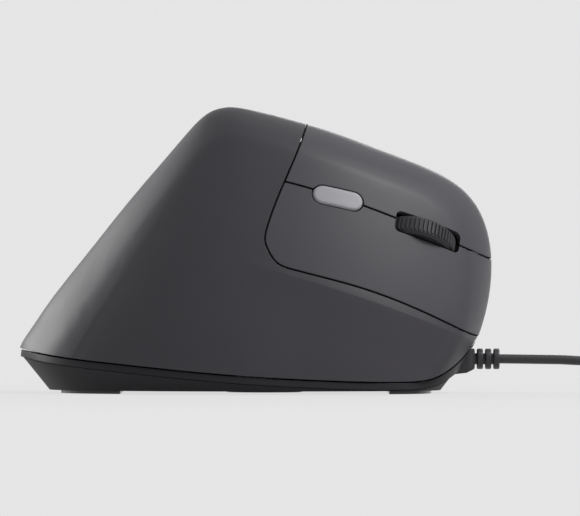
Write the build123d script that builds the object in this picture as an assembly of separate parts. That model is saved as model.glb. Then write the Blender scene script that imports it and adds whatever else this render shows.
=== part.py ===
from build123d import *
import math
import os

import numpy as np
from scipy.interpolate import CubicSpline

# Vertical mouse on a desk: X runs forward to the cord, Y to the thumb side, Z up from the desk.

os.makedirs("parts", exist_ok=True)

# Overall size
LENGTH = 120.0
HEIGHT = 72.7
HALF_WIDTH = 38.0
THUMB_REACH = 35.5

# Fan of sections: all their planes hold one line, this far under the desk
FAN_DEPTH = 22.0
SKIRT_DEPTH = 4.0
FAN_ANGLES = [25, 30, 35, 40, 46, 53, 61, 69, 76, 82, 87, 91, 94.3, 97, 100, 103.5, 108, 114, 122, 131,
              140, 146, 150, 154, 158]

# Walls and gaps
SHELL_WALL = 2.0
BUTTON_WALL = 1.8
SEAM_GAP = 0.5
SEAM_TILT = 0.06
CREASE_DEPTH = 1.7
CREASE_REACH = 12.0
CREASE_ROUND = 0.8
CREASE_WIDTH = 5.0
CREASE_HEIGHT = 32.27
CREASE_FALL = 0.257
CREASE_BEND = 0.2264
crease_growth_shares = (-0.06, 0.16)

# Outline of the crest seen from the side, rear foot to front foot
crest_shares = [
    (-0.4875, -0.069), (-0.4965, 0.055), (-0.4995, 0.1664), (-0.4795, 0.2205), (-0.4575, 0.275),
    (-0.4067, 0.388), (-0.3258, 0.5557), (-0.2433, 0.7235), (-0.1717, 0.861), (-0.130, 0.9395),
    (-0.1017, 0.9794), (-0.060, 1.0), (-0.0083, 0.989), (0.0667, 0.9587), (0.1558, 0.9161), (0.25, 0.8597),
    (0.3333, 0.8061), (0.39, 0.7662), (0.4317, 0.7208), (0.4667, 0.6602), (0.49, 0.5708),
    (0.5, 0.4539), (0.4933, 0.3315), (0.4717, 0.1994), (0.4317, 0.0688), (0.3875, -0.0413)]
# Crest's sideways place and roundover, by fan angle, in half widths
crest_side_shares = [(20, 0.026), (30, 0.053), (41, 0.105), (58, 0.118), (75, 0.04), (95, -0.04),
                     (120, -0.066), (150, -0.053), (165, -0.053)]
roundover_shares = [(20, 0.34), (30, 0.34), (41, 0.29), (58, 0.24), (75, 0.24), (95, 0.24), (125, 0.29),
                    (150, 0.34), (165, 0.37)]
ROUNDOVER_POWER = 2.25
# Finger side: width at the desk and how it leans in with height, in half widths, and its draw to the front
finger_lean_shares = (1.047, 0.335, 0.47)
FRONT_DRAW = 0.6 * HALF_WIDTH
FRONT_DRAW_POWER = 2.2
REAR_DRAW_POWER = 2.4
# How far the finger side draws in towards the rear edge, by height, in half widths
rear_draw_shares = [(-0.14, 0.71), (0.14, 0.66), (0.41, 0.55), (0.69, 0.33), (0.91, 0.13), (1.1, 0.05)]
# Thumb side by length: width at the desk, width at the top, and how hollow it is between them
thumb_low_shares = [(-0.57, 0.05), (-0.5, 0.21), (-0.417, 0.53), (-0.333, 0.75), (-0.25, 0.88),
                    (-0.167, 0.96), (-0.083, 1.005), (0.0, 1.02), (0.083, 1.005), (0.167, 0.96),
                    (0.25, 0.87), (0.333, 0.72),
                    (0.417, 0.5), (0.483, 0.24), (0.533, 0.05)]
thumb_top_shares = [(-0.5, 0.16), (-0.333, 0.17), (-0.167, 0.2), (0.0, 0.21), (0.167, 0.25), (0.375, 0.33),
                    (0.5, 0.32)]
thumb_rear_shares = (1.189, 2.014)
thumb_front_shares = (1.016, -0.495)
THUMB_BLEND = 0.055 * HEIGHT
THUMB_LOW = 0.069 * HEIGHT
thumb_hollow_powers = [(-0.5, 1.1), (-0.333, 1.3), (-0.167, 1.9), (0.0, 2.4), (0.167, 2.5), (0.333, 2.2),
                       (0.5, 1.7)]


def through(points, x_size=1.0, y_size=1.0):
    """Smooth curve through a table of shares, in the sizes given."""
    places, values = zip(*sorted(points))
    return CubicSpline(np.array(places) * x_size, np.array(values) * y_size, bc_type="natural")


def ease(share):
    """0 below 0, 1 above 1, and smooth between."""
    share = min(1.0, max(0.0, share))
    return share ** 3 * (share * (6 * share - 15) + 10)


crest = [(x * LENGTH, z * HEIGHT) for x, z in crest_shares]
crest_fan = [(math.degrees(math.atan2(z + FAN_DEPTH, x)), math.hypot(x, z + FAN_DEPTH)) for x, z in crest]
crest_reach = through(crest_fan)
crest_side = through(crest_side_shares, 1, HALF_WIDTH)
roundover = through(roundover_shares, 1, HALF_WIDTH)
rear_crest = crest[2:10]
rear_edge = CubicSpline([z for x, z in rear_crest], [x for x, z in rear_crest], bc_type="natural")
rear_draw = through(rear_draw_shares, HEIGHT, HALF_WIDTH)
thumb_low = through(thumb_low_shares, LENGTH, THUMB_REACH)
thumb_top = through(thumb_top_shares, LENGTH, HALF_WIDTH)
thumb_hollow = through(thumb_hollow_powers, LENGTH)


def crease_height(x):
    """Height of the crease under the button panel."""
    return CREASE_HEIGHT - CREASE_FALL * x - CREASE_BEND * x * x / LENGTH


def finger_side(x, z):
    """Sideways place of the finger side before its crest is rounded."""
    rise = z / HEIGHT
    width, lean, curve = finger_lean_shares
    out = HALF_WIDTH * (width - lean * rise - curve * rise ** 2)
    if x > 0:
        out -= FRONT_DRAW * (x / (LENGTH / 2)) ** FRONT_DRAW_POWER
    else:
        edge = rear_edge(min(z, rear_crest[-1][1]))
        out -= rear_draw(z) * (x / edge) ** REAR_DRAW_POWER
    low, high = crease_growth_shares
    strength = ease((x / LENGTH - low) / (high - low))
    below = crease_height(x) - z
    ridge = (below + math.hypot(below, CREASE_ROUND)) / 2
    return strength * CREASE_DEPTH * (1 - math.exp(-ridge / CREASE_REACH)) - out


def thumb_side(x, z):
    """Sideways place of the thumb side before its crest is rounded."""
    rear_line = HEIGHT * (thumb_rear_shares[0] + thumb_rear_shares[1] * x / LENGTH)
    front_line = HEIGHT * (thumb_front_shares[0] + thumb_front_shares[1] * x / LENGTH)
    full = (rear_line + front_line - math.hypot(rear_line - front_line, THUMB_BLEND)) / 2
    rise = (z - THUMB_LOW) / (full - THUMB_LOW)
    top = thumb_top(x)
    return top + (thumb_low(x) - top) * max(0.0, 1 - rise) ** thumb_hollow(x)


def rounded(share):
    """Quarter of a rounded corner, 0 on the crest and 1 where the side takes over."""
    if share >= 1:
        return 1.0
    return (1 - (1 - share) ** ROUNDOVER_POWER) ** (1 / ROUNDOVER_POWER)


def skin_point(angle, depth, side):
    """Point of the skin, a depth in from the crest along a fan line; side is -1 finger, 1 thumb."""
    turn = math.radians(angle)
    reach = float(crest_reach(angle)) - depth
    x = reach * math.cos(turn)
    z = reach * math.sin(turn) - FAN_DEPTH
    plain = finger_side(x, z) if side < 0 else thumb_side(x, z)
    share = rounded(depth / float(roundover(angle)))
    start = float(crest_side(angle))
    return np.array([x, start + (plain - start) * share, z])


def skin_side(x, z, side):
    """Sideways place of the skin over a point of the side view."""
    angle = math.degrees(math.atan2(z + FAN_DEPTH, x))
    depth = float(crest_reach(angle)) - math.hypot(x, z + FAN_DEPTH)
    return float(skin_point(angle, max(0.0, depth), side)[1])


# Rows of points down each section, as shares of its three stretches
ROUNDOVER_ROWS = 6
PANEL_ROWS = 5
crease_row_shares = [-0.5, -0.15, 0.1, 0.35, 0.7, 1.2]
LOW_ROWS = 4
THUMB_ROWS = 10
CORNER_LIMIT_SHARE = 0.55
crease_limit_shares = [0.2, 0.7, 0.15]


def section_depths(angle, side):
    """Depths of one section's points, from the crest down to the skirt."""
    turn = math.radians(angle)
    foot = float(crest_reach(angle)) - (FAN_DEPTH - SKIRT_DEPTH) / math.sin(turn)
    corner = min(float(roundover(angle)), foot * CORNER_LIMIT_SHARE)
    span = foot - corner
    turns = [math.pi / 2 * row / ROUNDOVER_ROWS for row in range(ROUNDOVER_ROWS + 1)]
    depths = [corner * (1 - math.cos(turn)) for turn in turns]
    if side > 0:
        return depths + [corner + span * row / THUMB_ROWS for row in range(1, THUMB_ROWS + 1)]
    depth = CREASE_HEIGHT + FAN_DEPTH
    fall = math.sin(turn) + CREASE_FALL * math.cos(turn)
    bend = CREASE_BEND / LENGTH * math.cos(turn) ** 2
    crease = float(crest_reach(angle)) - 2 * depth / (fall + math.sqrt(fall * fall + 4 * bend * depth))
    crease = min(max(crease, corner + span * crease_limit_shares[0]), corner + span * crease_limit_shares[1])
    width = min(CREASE_WIDTH, span * crease_limit_shares[2])
    first = crease + crease_row_shares[0] * width
    last = crease + crease_row_shares[-1] * width
    depths += [corner + (first - corner) * row / PANEL_ROWS for row in range(1, PANEL_ROWS)]
    depths += [crease + share * width for share in crease_row_shares]
    depths += [last + (foot - last) * row / LOW_ROWS for row in range(1, LOW_ROWS + 1)]
    return depths


def section_points(inset):
    """All sections' points, one row of the array a section, moved in by the inset."""
    rows = []
    for angle in FAN_ANGLES:
        finger = [skin_point(angle, depth, -1) for depth in section_depths(angle, -1)]
        thumb = [skin_point(angle, depth, 1) for depth in section_depths(angle, 1)]
        rows.append(finger[::-1] + thumb[1:])
    points = np.array(rows)
    if inset == 0:
        return points
    normals = np.cross(np.gradient(points, axis=0), np.gradient(points, axis=1))
    normals /= np.linalg.norm(normals, axis=2)[:, :, None]
    crest_row = len(section_depths(FAN_ANGLES[0], -1)) - 1
    for angle, line, normal in zip(FAN_ANGLES, points, normals):
        turn = math.radians(angle)
        outward = np.array([math.cos(turn), 0, math.sin(turn)])
        across = np.array([-math.sin(turn), 0, math.cos(turn)])
        if normal[crest_row] @ outward < 0:
            normal *= -1
        flat = normal - (normal @ across)[:, None] * across
        line -= inset * flat / np.sum(flat * flat, axis=1)[:, None]
    return points


outer_points = section_points(0)
row_lengths = np.sqrt(np.linalg.norm(np.diff(outer_points, axis=1), axis=2).mean(axis=0))
row_places = [0.0] + [float(place) for place in np.cumsum(row_lengths) / np.sum(row_lengths)]


def skin_solid(inset=0.0):
    """The body's full form, moved in by the inset, down to the skirt."""
    wires = []
    for line in section_points(inset):
        arch = Edge.make_spline([Vector(*point) for point in line], parameters=row_places)
        wires.append(Wire([arch, Edge.make_line(arch @ 1, arch @ 0)]))
    return Solid.make_loft(wires, ruled=False)


# Places on the finger side, seen from the side
SLOT_X = 0.3633 * LENGTH
SLOT_Z = 0.564 * HEIGHT
SLOT_FALL = 20.5
panel_seam_shares = [(0.121, 1.03), (0.101, 0.9065), (0.059, 0.7345), (0.0225, 0.5736), (0.0188, 0.5337),
                     (0.0267, 0.4952), (0.045, 0.4539), (0.0767, 0.4319), (0.2242, 0.3659), (0.3975, 0.249),
                     (0.53, 0.145)]
split_seam_shares = [(-0.02, 0.765), (0.1208, 0.7098), (0.2933, 0.6107), (0.4317, 0.5131), (0.63, 0.35)]
parting_shares = [(-0.56, 0.19), (-0.495, 0.1527), (-0.41, 0.1265), (-0.2917, 0.1045), (-0.1625, 0.0825),
                  (-0.015, 0.0619), (0.14, 0.0475), (0.31, 0.0413), (0.375, 0.055), (0.41, 0.0867),
                  (0.44, 0.1307), (0.4575, 0.1664), (0.52, 0.30)]
# The thumb shell's own outline: rear foot, up to the top, forward, and down to the cord
thumb_edge_shares = [(-0.46, -0.05), (-0.38, 0.17), (-0.27, 0.42), (-0.13, 0.69), (-0.035, 0.845),
                     (0.07, 0.883), (0.17, 0.851), (0.29, 0.782), (0.39, 0.709), (0.445, 0.615),
                     (0.466, 0.47), (0.459, 0.31), (0.436, 0.17), (0.40, -0.05)]
FINGER_LIMIT = 2.0
WRAP_GAP = 0.9

# Wheel and the cradle that carries it
WHEEL_RADIUS = 10.8
WHEEL_RISE = 2.5
WHEEL_WIDTH = 5.0
WHEEL_CROWN = 1.0
TYRE_DEPTH = 1.6
TREAD_DEPTH = 0.4
TREAD_COUNT = 60
tread_shares = [(-0.36, 1), (-0.22, 0), (0.22, 0), (0.36, 1)]
HUB_RECESS = 0.8
HUB_RIM = 1.8
HUB_CORE = 2.6
AXLE_RADIUS = 1.0
RUNNING_GAP = 0.05
SIDE_GAP = 0.4
SLOT_LENGTH = 18.6
SLOT_WIDTH = 5.9
SLOT_CORNER = 1.5
CRADLE_WALL = 1.2
CRADLE_HEIGHT = 4.0
CRADLE_PIVOT_BACK = 14.7
CRADLE_LUG_WALL = 1.8
WHEEL_SWITCH_FORWARD = 2.5
WHEEL_SWITCH_UP = 10.0
ENCODER_LENGTH = 9.0
ENCODER_WIDTH = 5.5
ENCODER_HEIGHT = 7.0
ENCODER_LIFT = 0.6

# Circuit boards and switches
BOARD_THICKNESS = 1.6
BOARD_DEPTH = 13.0
BOARD_BACK = 33.2
BOARD_FRONT = 12.0
BOARD_DOWN = 18.0
BOARD_UP = 15.0
NOTCH_BACK = 17.2
SWITCH_LENGTH = 12.8
SWITCH_WIDTH = 5.8
SWITCH_HEIGHT = 6.5
SWITCH_BACK = 8.0
SWITCH_UP = 11.7
SWITCH_DOWN = 13.6
KNOB_LENGTH = 2.4
KNOB_WIDTH = 1.2
KNOB_RISE = 0.7
TACT_SIZE = 4.5
TACT_HEIGHT = 3.5
TACT_KNOB_RADIUS = 1.1
TACT_KNOB_RISE = 0.8
KNOB_SINK = 0.9
PRESS_GAP = 0.1

# Chassis under the finger board
CHASSIS_WALL = 2.0
STANDOFF = 1.6
STANDOFF_RADIUS = 1.8
STANDOFF_BACK = 6.3
STANDOFF_UP = 2.4
CHASSIS_UP = 13.0
POST_RADIUS = 3.0
post_place_shares = [(0.2667, -0.21), (0.0583, -0.474), (0.1167, -0.21)]

# Button hinge behind the rear seam
HINGE_BACK = 46.0
HINGE_DEPTH = 18.5
HINGE_PIN_RADIUS = 1.0
HINGE_BARREL_RADIUS = 2.0
ARM_WIDTH = 2.5
ARM_FRONT = 34.0
ARM_DEPTH = 17.5
ARM_GAP = 0.4
HINGE_MIDDLE = 3.0
HINGE_LUG = 2.4
HINGE_SIDE_GAP = 0.4
HINGE_BARREL = 8.0

# Resolution button
DPI_LENGTH = 12.4
DPI_WIDTH = 5.1
DPI_RISE = 0.35
DPI_ROUND = 0.45
DPI_GAP = 0.35
DPI_BACK = 24.6
DPI_UP = 1.85
DPI_BODY_DEPTH = 7.2
GUIDE_WALL = 0.9
GUIDE_GAP = 0.3

# Thumb buttons
THUMB_BUTTON_LENGTH = 17.0
THUMB_BUTTON_WIDTH = 7.5
THUMB_BUTTON_RISE = 0.7
THUMB_BUTTON_SPACING = 19.2
THUMB_BUTTON_GAP = 0.3
THUMB_FLANGE = 0.9
THUMB_X = 0.035 * LENGTH
THUMB_Z = 0.655 * HEIGHT
THUMB_FALL = 6.0
THUMB_BOARD_PLACE = 1.2
THUMB_BOARD_LENGTH = 32.0
THUMB_BOARD_UP = 5.5
THUMB_BOARD_DOWN = 11.0
THUMB_SCREW_LENGTH = 3.2

# Base
BASE_CLEARANCE = 0.8
FLOOR_WALL = 2.0
BASE_WALL = 2.0
BEVEL_ANGLE = 51.0
TRIM_HEIGHT = 1.8
TRIM_INSET = 0.3
TRIM_WALL = 2.2
TRIM_GAP = 0.1
PARTING_GAP = 0.35
RING_POINTS = 32
RING_STEPS = 10000
LEVEL_ROWS = 3
BASE_INSET = 0.6
FLOOR_GAP = 0.2
BASE_TOP = 0.24 * HEIGHT
BOSS_RADIUS = 3.0
BOSS_TOP = 14.0
WEB_WALL = 2.0
finger_boss_shares = [(-0.3333, -0.37), (0.2833, -0.58)]
thumb_boss_shares = [(-0.2333, 0.526), (0.2667, 0.5)]
FOOT_INSET = 2.5
SENSOR_FOOT_RADIUS = 9.6
SENSOR_FOOT_OPENING = 6.4
rear_foot_shares = (-0.4133, -0.2858)
front_foot_shares = (0.2792, 0.4042)

# Screws
SCREW_RADIUS = 1.1
SCREW_HEAD_RADIUS = 2.2
SCREW_HEAD = 0.9
SCREW_LENGTH = 8.0
SMALL_SCREW_RADIUS = 0.8
SMALL_HEAD_RADIUS = 1.6
SMALL_HEAD = 0.9
SMALL_SCREW_LENGTH = 4.0
THREAD_GAP = 0.02

# Main board, sensor and leads
MAIN_BOARD_REAR = -22.0
MAIN_BOARD_FRONT = 26.0
MAIN_BOARD_LOW = -3.0
MAIN_BOARD_HIGH = 24.0
MAIN_STANDOFF = 2.6
SENSOR_PLACE = (2.0, 9.0)
SENSOR_LENGTH = 10.0
SENSOR_WIDTH = 8.0
SENSOR_HEIGHT = 2.4
LENS_LENGTH = 14.0
LENS_WIDTH = 9.0
WINDOW_RADIUS = 4.0
CONTROLLER_X = -11.7
CONTROLLER_SIZE = 7.0
CONTROLLER_HEIGHT = 1.0
SOCKET_LENGTH = 6.0
SOCKET_WIDTH = 8.0
SOCKET_HEIGHT = 5.0

# Cord, strain relief, coil and plug
STRETCH_LEVEL = 33.0
STRETCH_LAST = 18.0
COIL_AWAY = 88.0
COIL_PITCH = 2.9
COIL_INNER = 8.8
COIL_HALF_TURNS = 7
COIL_LIFT = 0.85
COIL_LAYERS = 4
TAIL_SPREAD = 9.5
TIE_WALL = 0.5
TIE_WIDTH = 7.0
TIE_GAP = 0.35
TIE_CORNER = 2.0
PLUG_LENGTH = 22.0
PLUG_WIDTH = 14.5
PLUG_THICKNESS = 7.8
PLUG_CORNER = 1.6
USB_LENGTH = 12.0
USB_WINDOW = 2.2
LEAD_RUN = 6.0
USB_WIDTH = 12.0
USB_THICKNESS = 4.5
USB_WALL = 0.35
TONGUE_THICKNESS = 1.9
CORD_RADIUS = 1.2
CORD_HEIGHT = 8.6
RELIEF_START = 52.0
RELIEF_RIB_RADIUS = 2.65
RELIEF_CORE_RADIUS = 1.45
RELIEF_PITCH = 2.1
RELIEF_RIB = 1.6
RELIEF_ROUND = 0.4
RELIEF_COUNT = 4
RELIEF_FIRST = 54.0
GLAND_BACK = 47.5
GLAND_HALF_WIDTH = 4.6
GLAND_LOW = 4.64
GLAND_TOP = 11.4
GLAND_ROUND = 1.5
gland_shares = [(0.421, 0.0651), (0.445, 0.0694), (0.4617, 0.0828)]
BEND_SHARE = 0.45

# Cuts run this far past what they cut
OVERRUN = 30.0
FAR = 2 * LENGTH
SLOPE_STEPS = 150


def moved_sideways(shares, shift):
    """Side view points of a table of shares, each moved to the left of its travel."""
    points = np.array(shares) * np.array([LENGTH, HEIGHT])
    along = np.gradient(points, axis=0)
    along /= np.linalg.norm(along, axis=1)[:, None]
    return points + shift * np.stack([-along[:, 1], along[:, 0]], axis=1)


def region(shares, corners, shift=0.0, tilt=0.0):
    """Side view face between a smooth curve and straight lines over far corners."""
    points = moved_sideways(shares, shift)
    curve = Spline(*[(x, 0, z - tilt * skin_side(x, z, -1)) for x, z in points])
    path = [curve @ 1] + [Vector(x, 0, z) for x, z in corners] + [curve @ 0]
    return make_face([curve] + list(Polyline(*path).edges()))


def band(shares, low_shift, high_shift):
    """Side view strip between two shifts of one curve."""
    low = Spline(*[(x, 0, z) for x, z in moved_sideways(shares, low_shift)])
    high = Spline(*[(x, 0, z) for x, z in moved_sideways(shares, high_shift)])
    return make_face([low, Line(low @ 1, high @ 1), high, Line(high @ 0, low @ 0)])


def prism(face, start=-OVERRUN * 2, stop=OVERRUN * 2, tilt=0.0):
    """A side view face run through the body from one sideways place to another."""
    run = Vector(0, stop - start, tilt * (stop - start))
    return Pos(0, start, start * tilt) * extrude(face, amount=run.length, dir=run)


def above_parting(shift=0.0):
    """Everything over the parting line between the shells and the base."""
    return prism(region(parting_shares, [(FAR, FAR), (-FAR, FAR)], shift))


def panel(shift=0.0):
    """The two finger buttons' area, open to the top and the front."""
    face = region(panel_seam_shares, [(FAR, -FAR), (FAR, FAR), (0, FAR)], shift, SEAM_TILT)
    return prism(face, tilt=SEAM_TILT)


def above_split(shift=0.0):
    """Everything over the seam between the two finger buttons."""
    face = region(split_seam_shares, [(FAR, FAR), (-FAR, FAR)], shift, SEAM_TILT)
    return prism(face, tilt=SEAM_TILT)


def thumb_zone(shift=0.0):
    """The thumb shell's area, on the thumb side only."""
    return prism(region(thumb_edge_shares, [(0, -FAR)], shift), FINGER_LIMIT)


def slope(x, z, side, step=HEIGHT / SLOPE_STEPS):
    """Outward direction of the skin over a point of the side view."""
    along = (skin_side(x + step, z, side) - skin_side(x - step, z, side)) / (2 * step)
    up = (skin_side(x, z + step, side) - skin_side(x, z - step, side)) / (2 * step)
    return Vector(-along * side, side, -up * side).normalized()


# Frame on the finger face: X forward along the wheel slot, Y up the face, Z out, all from the slot's middle
face_out = slope(SLOT_X, SLOT_Z, -1)
slot_fall = math.radians(SLOT_FALL)
slot_turn = (face_out.Z * math.sin(slot_fall) - face_out.X * math.cos(slot_fall)) / face_out.Y
slot_forward = Vector(math.cos(slot_fall), slot_turn, -math.sin(slot_fall)).normalized()
face_plane = Plane(origin=(SLOT_X, skin_side(SLOT_X, SLOT_Z, -1), SLOT_Z), x_dir=slot_forward, z_dir=face_out)
on_face = Location(face_plane)


def block(along, up, out):
    """Box on the finger face, between two places each way."""
    middle = (sum(along) / 2, sum(up) / 2, sum(out) / 2)
    return on_face * Pos(*middle) * Box(along[1] - along[0], up[1] - up[0], out[1] - out[0])


def peg(along, up, out, radius):
    """Round post that stands on the finger face's boards."""
    return on_face * Pos(along, up, sum(out) / 2) * Cylinder(radius, out[1] - out[0])


def rod(along, up, out, radius):
    """Round bar that runs up the finger face."""
    return on_face * Pos(along, sum(up) / 2, out) * Rot(90, 0, 0) * Cylinder(radius, up[1] - up[0])


def slug(along, up, out, length, width):
    """Round-ended block on the finger face."""
    shape = extrude(SlotOverall(length, width), amount=out[1] - out[0])
    return on_face * Pos(along, up, out[0]) * shape


# Skins
outer = skin_solid()
shell_inside = skin_solid(SHELL_WALL)
shell_root = skin_solid(SHELL_WALL - PRESS_GAP)
button_inside = skin_solid(BUTTON_WALL)
under_shell = skin_solid(SHELL_WALL + ARM_GAP)
button_root = skin_solid(BUTTON_WALL - PRESS_GAP)
upper = outer & above_parting(PARTING_GAP / 2)
relief_end = RELIEF_FIRST + (RELIEF_COUNT - 1) * RELIEF_PITCH + RELIEF_RIB
origin = Vector((upper.bounding_box().min.X + relief_end) / 2, 0, 0)
print("origin", origin)


def write(name, shape):
    """One sub-part's file, its origin under the middle of the mouse."""
    shape = Pos(-origin.X, 0, 0) * shape
    shape.label = name
    export_step(shape, "parts/" + name + ".step")


# Openings in the buttons
slot_form = extrude(RectangleRounded(SLOT_LENGTH, SLOT_WIDTH, SLOT_CORNER), amount=OVERRUN)
slot_cut = on_face * Pos(0, 0, -OVERRUN / 2) * slot_form
dpi_cut = slug(-DPI_BACK, DPI_UP, (-OVERRUN / 2, OVERRUN / 2), DPI_LENGTH + 2 * DPI_GAP,
               DPI_WIDTH + 2 * DPI_GAP)

# Thumb buttons: places along the thumb side
thumb_fall = math.radians(THUMB_FALL)
thumb_places = []
for turn in (-0.5, 0.5):
    place_x = THUMB_X + turn * THUMB_BUTTON_SPACING * math.cos(thumb_fall)
    place_z = THUMB_Z - turn * THUMB_BUTTON_SPACING * math.sin(thumb_fall)
    thumb_places.append((place_x, place_z))


def thumb_button_area(place, growth=0.0):
    """Round-ended prism through the thumb side at one button's place."""
    shape = SlotOverall(THUMB_BUTTON_LENGTH + 2 * growth, THUMB_BUTTON_WIDTH + 2 * growth)
    shape = Plane.XZ * Rot(0, 0, -THUMB_FALL) * shape
    body = extrude(shape, amount=OVERRUN, dir=(0, 1, 0))
    return Pos(place[0], FINGER_LIMIT, place[1]) * body


parting_curve = CubicSpline([x * LENGTH for x, z in parting_shares], [z * HEIGHT for x, z in parting_shares])


def parting_height(x):
    """Height of the parting line."""
    return float(parting_curve(x))


floor_top = BASE_CLEARANCE + FLOOR_WALL
finger_bosses = [(x * LENGTH, y * HALF_WIDTH) for x, y in finger_boss_shares]
thumb_bosses = [(x * LENGTH, y * HALF_WIDTH) for x, y in thumb_boss_shares]
posts = [(x * LENGTH, y * HALF_WIDTH) for x, y in post_place_shares]


def boss(place, side):
    """Screw boss inside a shell, standing on the floor and joined to the wall by a web."""
    x, y = place
    column = Pos(x, y, (floor_top + BOSS_TOP) / 2) * Cylinder(BOSS_RADIUS, BOSS_TOP - floor_top)
    low = parting_height(x) + PARTING_GAP + TRIM_GAP
    web = Pos(x, y + side * OVERRUN / 2, (low + BOSS_TOP) / 2) * Box(WEB_WALL, OVERRUN, BOSS_TOP - low)
    web &= shell_root
    bore = Pos(x, y, floor_top + SCREW_LENGTH / 2) * Cylinder(SCREW_RADIUS + THREAD_GAP, SCREW_LENGTH)
    return column + web - bore


# Main shell: finger side, rear and top
main_shell = upper - shell_inside - panel(-SEAM_GAP / 2) - thumb_zone(SEAM_GAP)
for place in finger_bosses:
    main_shell += boss(place, -1)

# Thumb shell with its two openings
thumb_shell = (upper & thumb_zone()) - shell_inside
for place in thumb_places:
    thumb_shell -= thumb_button_area(place, THUMB_BUTTON_GAP)
for place in thumb_bosses:
    thumb_shell += boss(place, 1)

# Finger buttons, with arms to the hinge and ribs over the switches
button_block = outer & panel(SEAM_GAP / 2)
button_zone = thumb_zone(WRAP_GAP)


def hinge_arm(place):
    """Web from a button's underside back to the hinge."""
    sides = (place - ARM_WIDTH / 2, place + ARM_WIDTH / 2)
    web = block((-HINGE_BACK, -ARM_FRONT), sides, (-ARM_DEPTH, 0)) & under_shell
    foot = block((-HINGE_BACK - HINGE_BARREL_RADIUS / 2, -HINGE_BACK + 2 * HINGE_BARREL_RADIUS), sides,
                 (-HINGE_DEPTH, -ARM_DEPTH + HINGE_BARREL_RADIUS))
    return web + foot


def finger_button(area, arm_places, barrel, rib_place):
    """One finger button over its part of the panel."""
    skin_part = area - button_inside - button_zone
    body = skin_part
    for place in arm_places:
        sides = (place - ARM_WIDTH / 2, place + ARM_WIDTH / 2)
        riser = block((-HINGE_BACK, -ARM_FRONT), sides, (-ARM_DEPTH + HINGE_BARREL_RADIUS, 0))
        body += riser & area & button_root
        body += hinge_arm(place)
    body += rod(-HINGE_BACK, barrel, -HINGE_DEPTH, HINGE_BARREL_RADIUS)
    rib = block((-SWITCH_BACK - KNOB_WIDTH, -SWITCH_BACK + KNOB_WIDTH),
                (rib_place - KNOB_LENGTH / 2, rib_place + KNOB_LENGTH / 2),
                (-BOARD_DEPTH + SWITCH_HEIGHT + KNOB_RISE + PRESS_GAP, 0))
    body += rib & button_root
    body -= slot_cut
    body -= dpi_cut
    bore = rod(-HINGE_BACK, (barrel[0] - OVERRUN, barrel[1] + OVERRUN), -HINGE_DEPTH,
               HINGE_PIN_RADIUS + RUNNING_GAP)
    return body - bore


upper_barrel = (HINGE_MIDDLE + HINGE_LUG / 2 + HINGE_SIDE_GAP, HINGE_MIDDLE + HINGE_LUG / 2 + HINGE_BARREL)
lower_barrel = (HINGE_MIDDLE - HINGE_LUG / 2 - HINGE_BARREL, HINGE_MIDDLE - HINGE_LUG / 2 - HINGE_SIDE_GAP)
upper_arms = [upper_barrel[0] + ARM_WIDTH / 2, upper_barrel[1] - ARM_WIDTH / 2]
lower_arms = [lower_barrel[0] + ARM_WIDTH / 2, lower_barrel[1] - ARM_WIDTH / 2]
primary = finger_button(button_block & above_split(SEAM_GAP / 2), upper_arms, upper_barrel, SWITCH_UP)
secondary = finger_button(button_block - above_split(-SEAM_GAP / 2), lower_arms, lower_barrel, -SWITCH_DOWN)

write("primary_button", primary)
write("secondary_button", secondary)

# Wheel: ribbed tyre on a hub, its axle through the cradle's cheeks
axle_out = WHEEL_RISE - WHEEL_RADIUS
half_wheel = WHEEL_WIDTH / 2
cheek_start = half_wheel + SIDE_GAP
cheek_end = cheek_start + CRADLE_WALL
tyre_inner = WHEEL_RADIUS - TYRE_DEPTH
wheel_place = on_face * Pos(0, 0, axle_out) * Rot(90, 0, 0)
tread_step = 360 / TREAD_COUNT
tread_points = []
for tread in range(TREAD_COUNT):
    for turn, depth in tread_shares:
        radius = WHEEL_RADIUS - depth * TREAD_DEPTH
        angle = math.radians(tread_step * (tread + turn))
        tread_points.append((radius * math.cos(angle), radius * math.sin(angle)))
tyre = extrude(make_face(Polyline(*tread_points, close=True)), amount=half_wheel, both=True)
crown_profile = Polyline((tyre_inner, -half_wheel), (WHEEL_RADIUS - WHEEL_CROWN, -half_wheel),
                         (WHEEL_RADIUS, -half_wheel + WHEEL_CROWN), (WHEEL_RADIUS, half_wheel - WHEEL_CROWN),
                         (WHEEL_RADIUS - WHEEL_CROWN, half_wheel), (tyre_inner, half_wheel), close=True)
crown = revolve(Plane.XZ * make_face(crown_profile), Axis.Z)
tyre = wheel_place * (tyre & crown)
hub = Cylinder(tyre_inner, WHEEL_WIDTH - 2 * RUNNING_GAP)
for face_sign in (-1, 1):
    ring = Cylinder(tyre_inner - HUB_RIM, HUB_RECESS) - Cylinder(HUB_CORE, HUB_RECESS)
    hub -= Pos(0, 0, face_sign * (half_wheel - HUB_RECESS / 2)) * ring
hub = wheel_place * (hub - Cylinder(AXLE_RADIUS, WHEEL_WIDTH))
encoder_end = cheek_end + ENCODER_WIDTH
axle = rod(0, (-encoder_end + CRADLE_WALL, cheek_end), axle_out, AXLE_RADIUS)
write("wheel_tyre", tyre)
write("wheel_hub", hub)
write("wheel_axle", axle)

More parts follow.
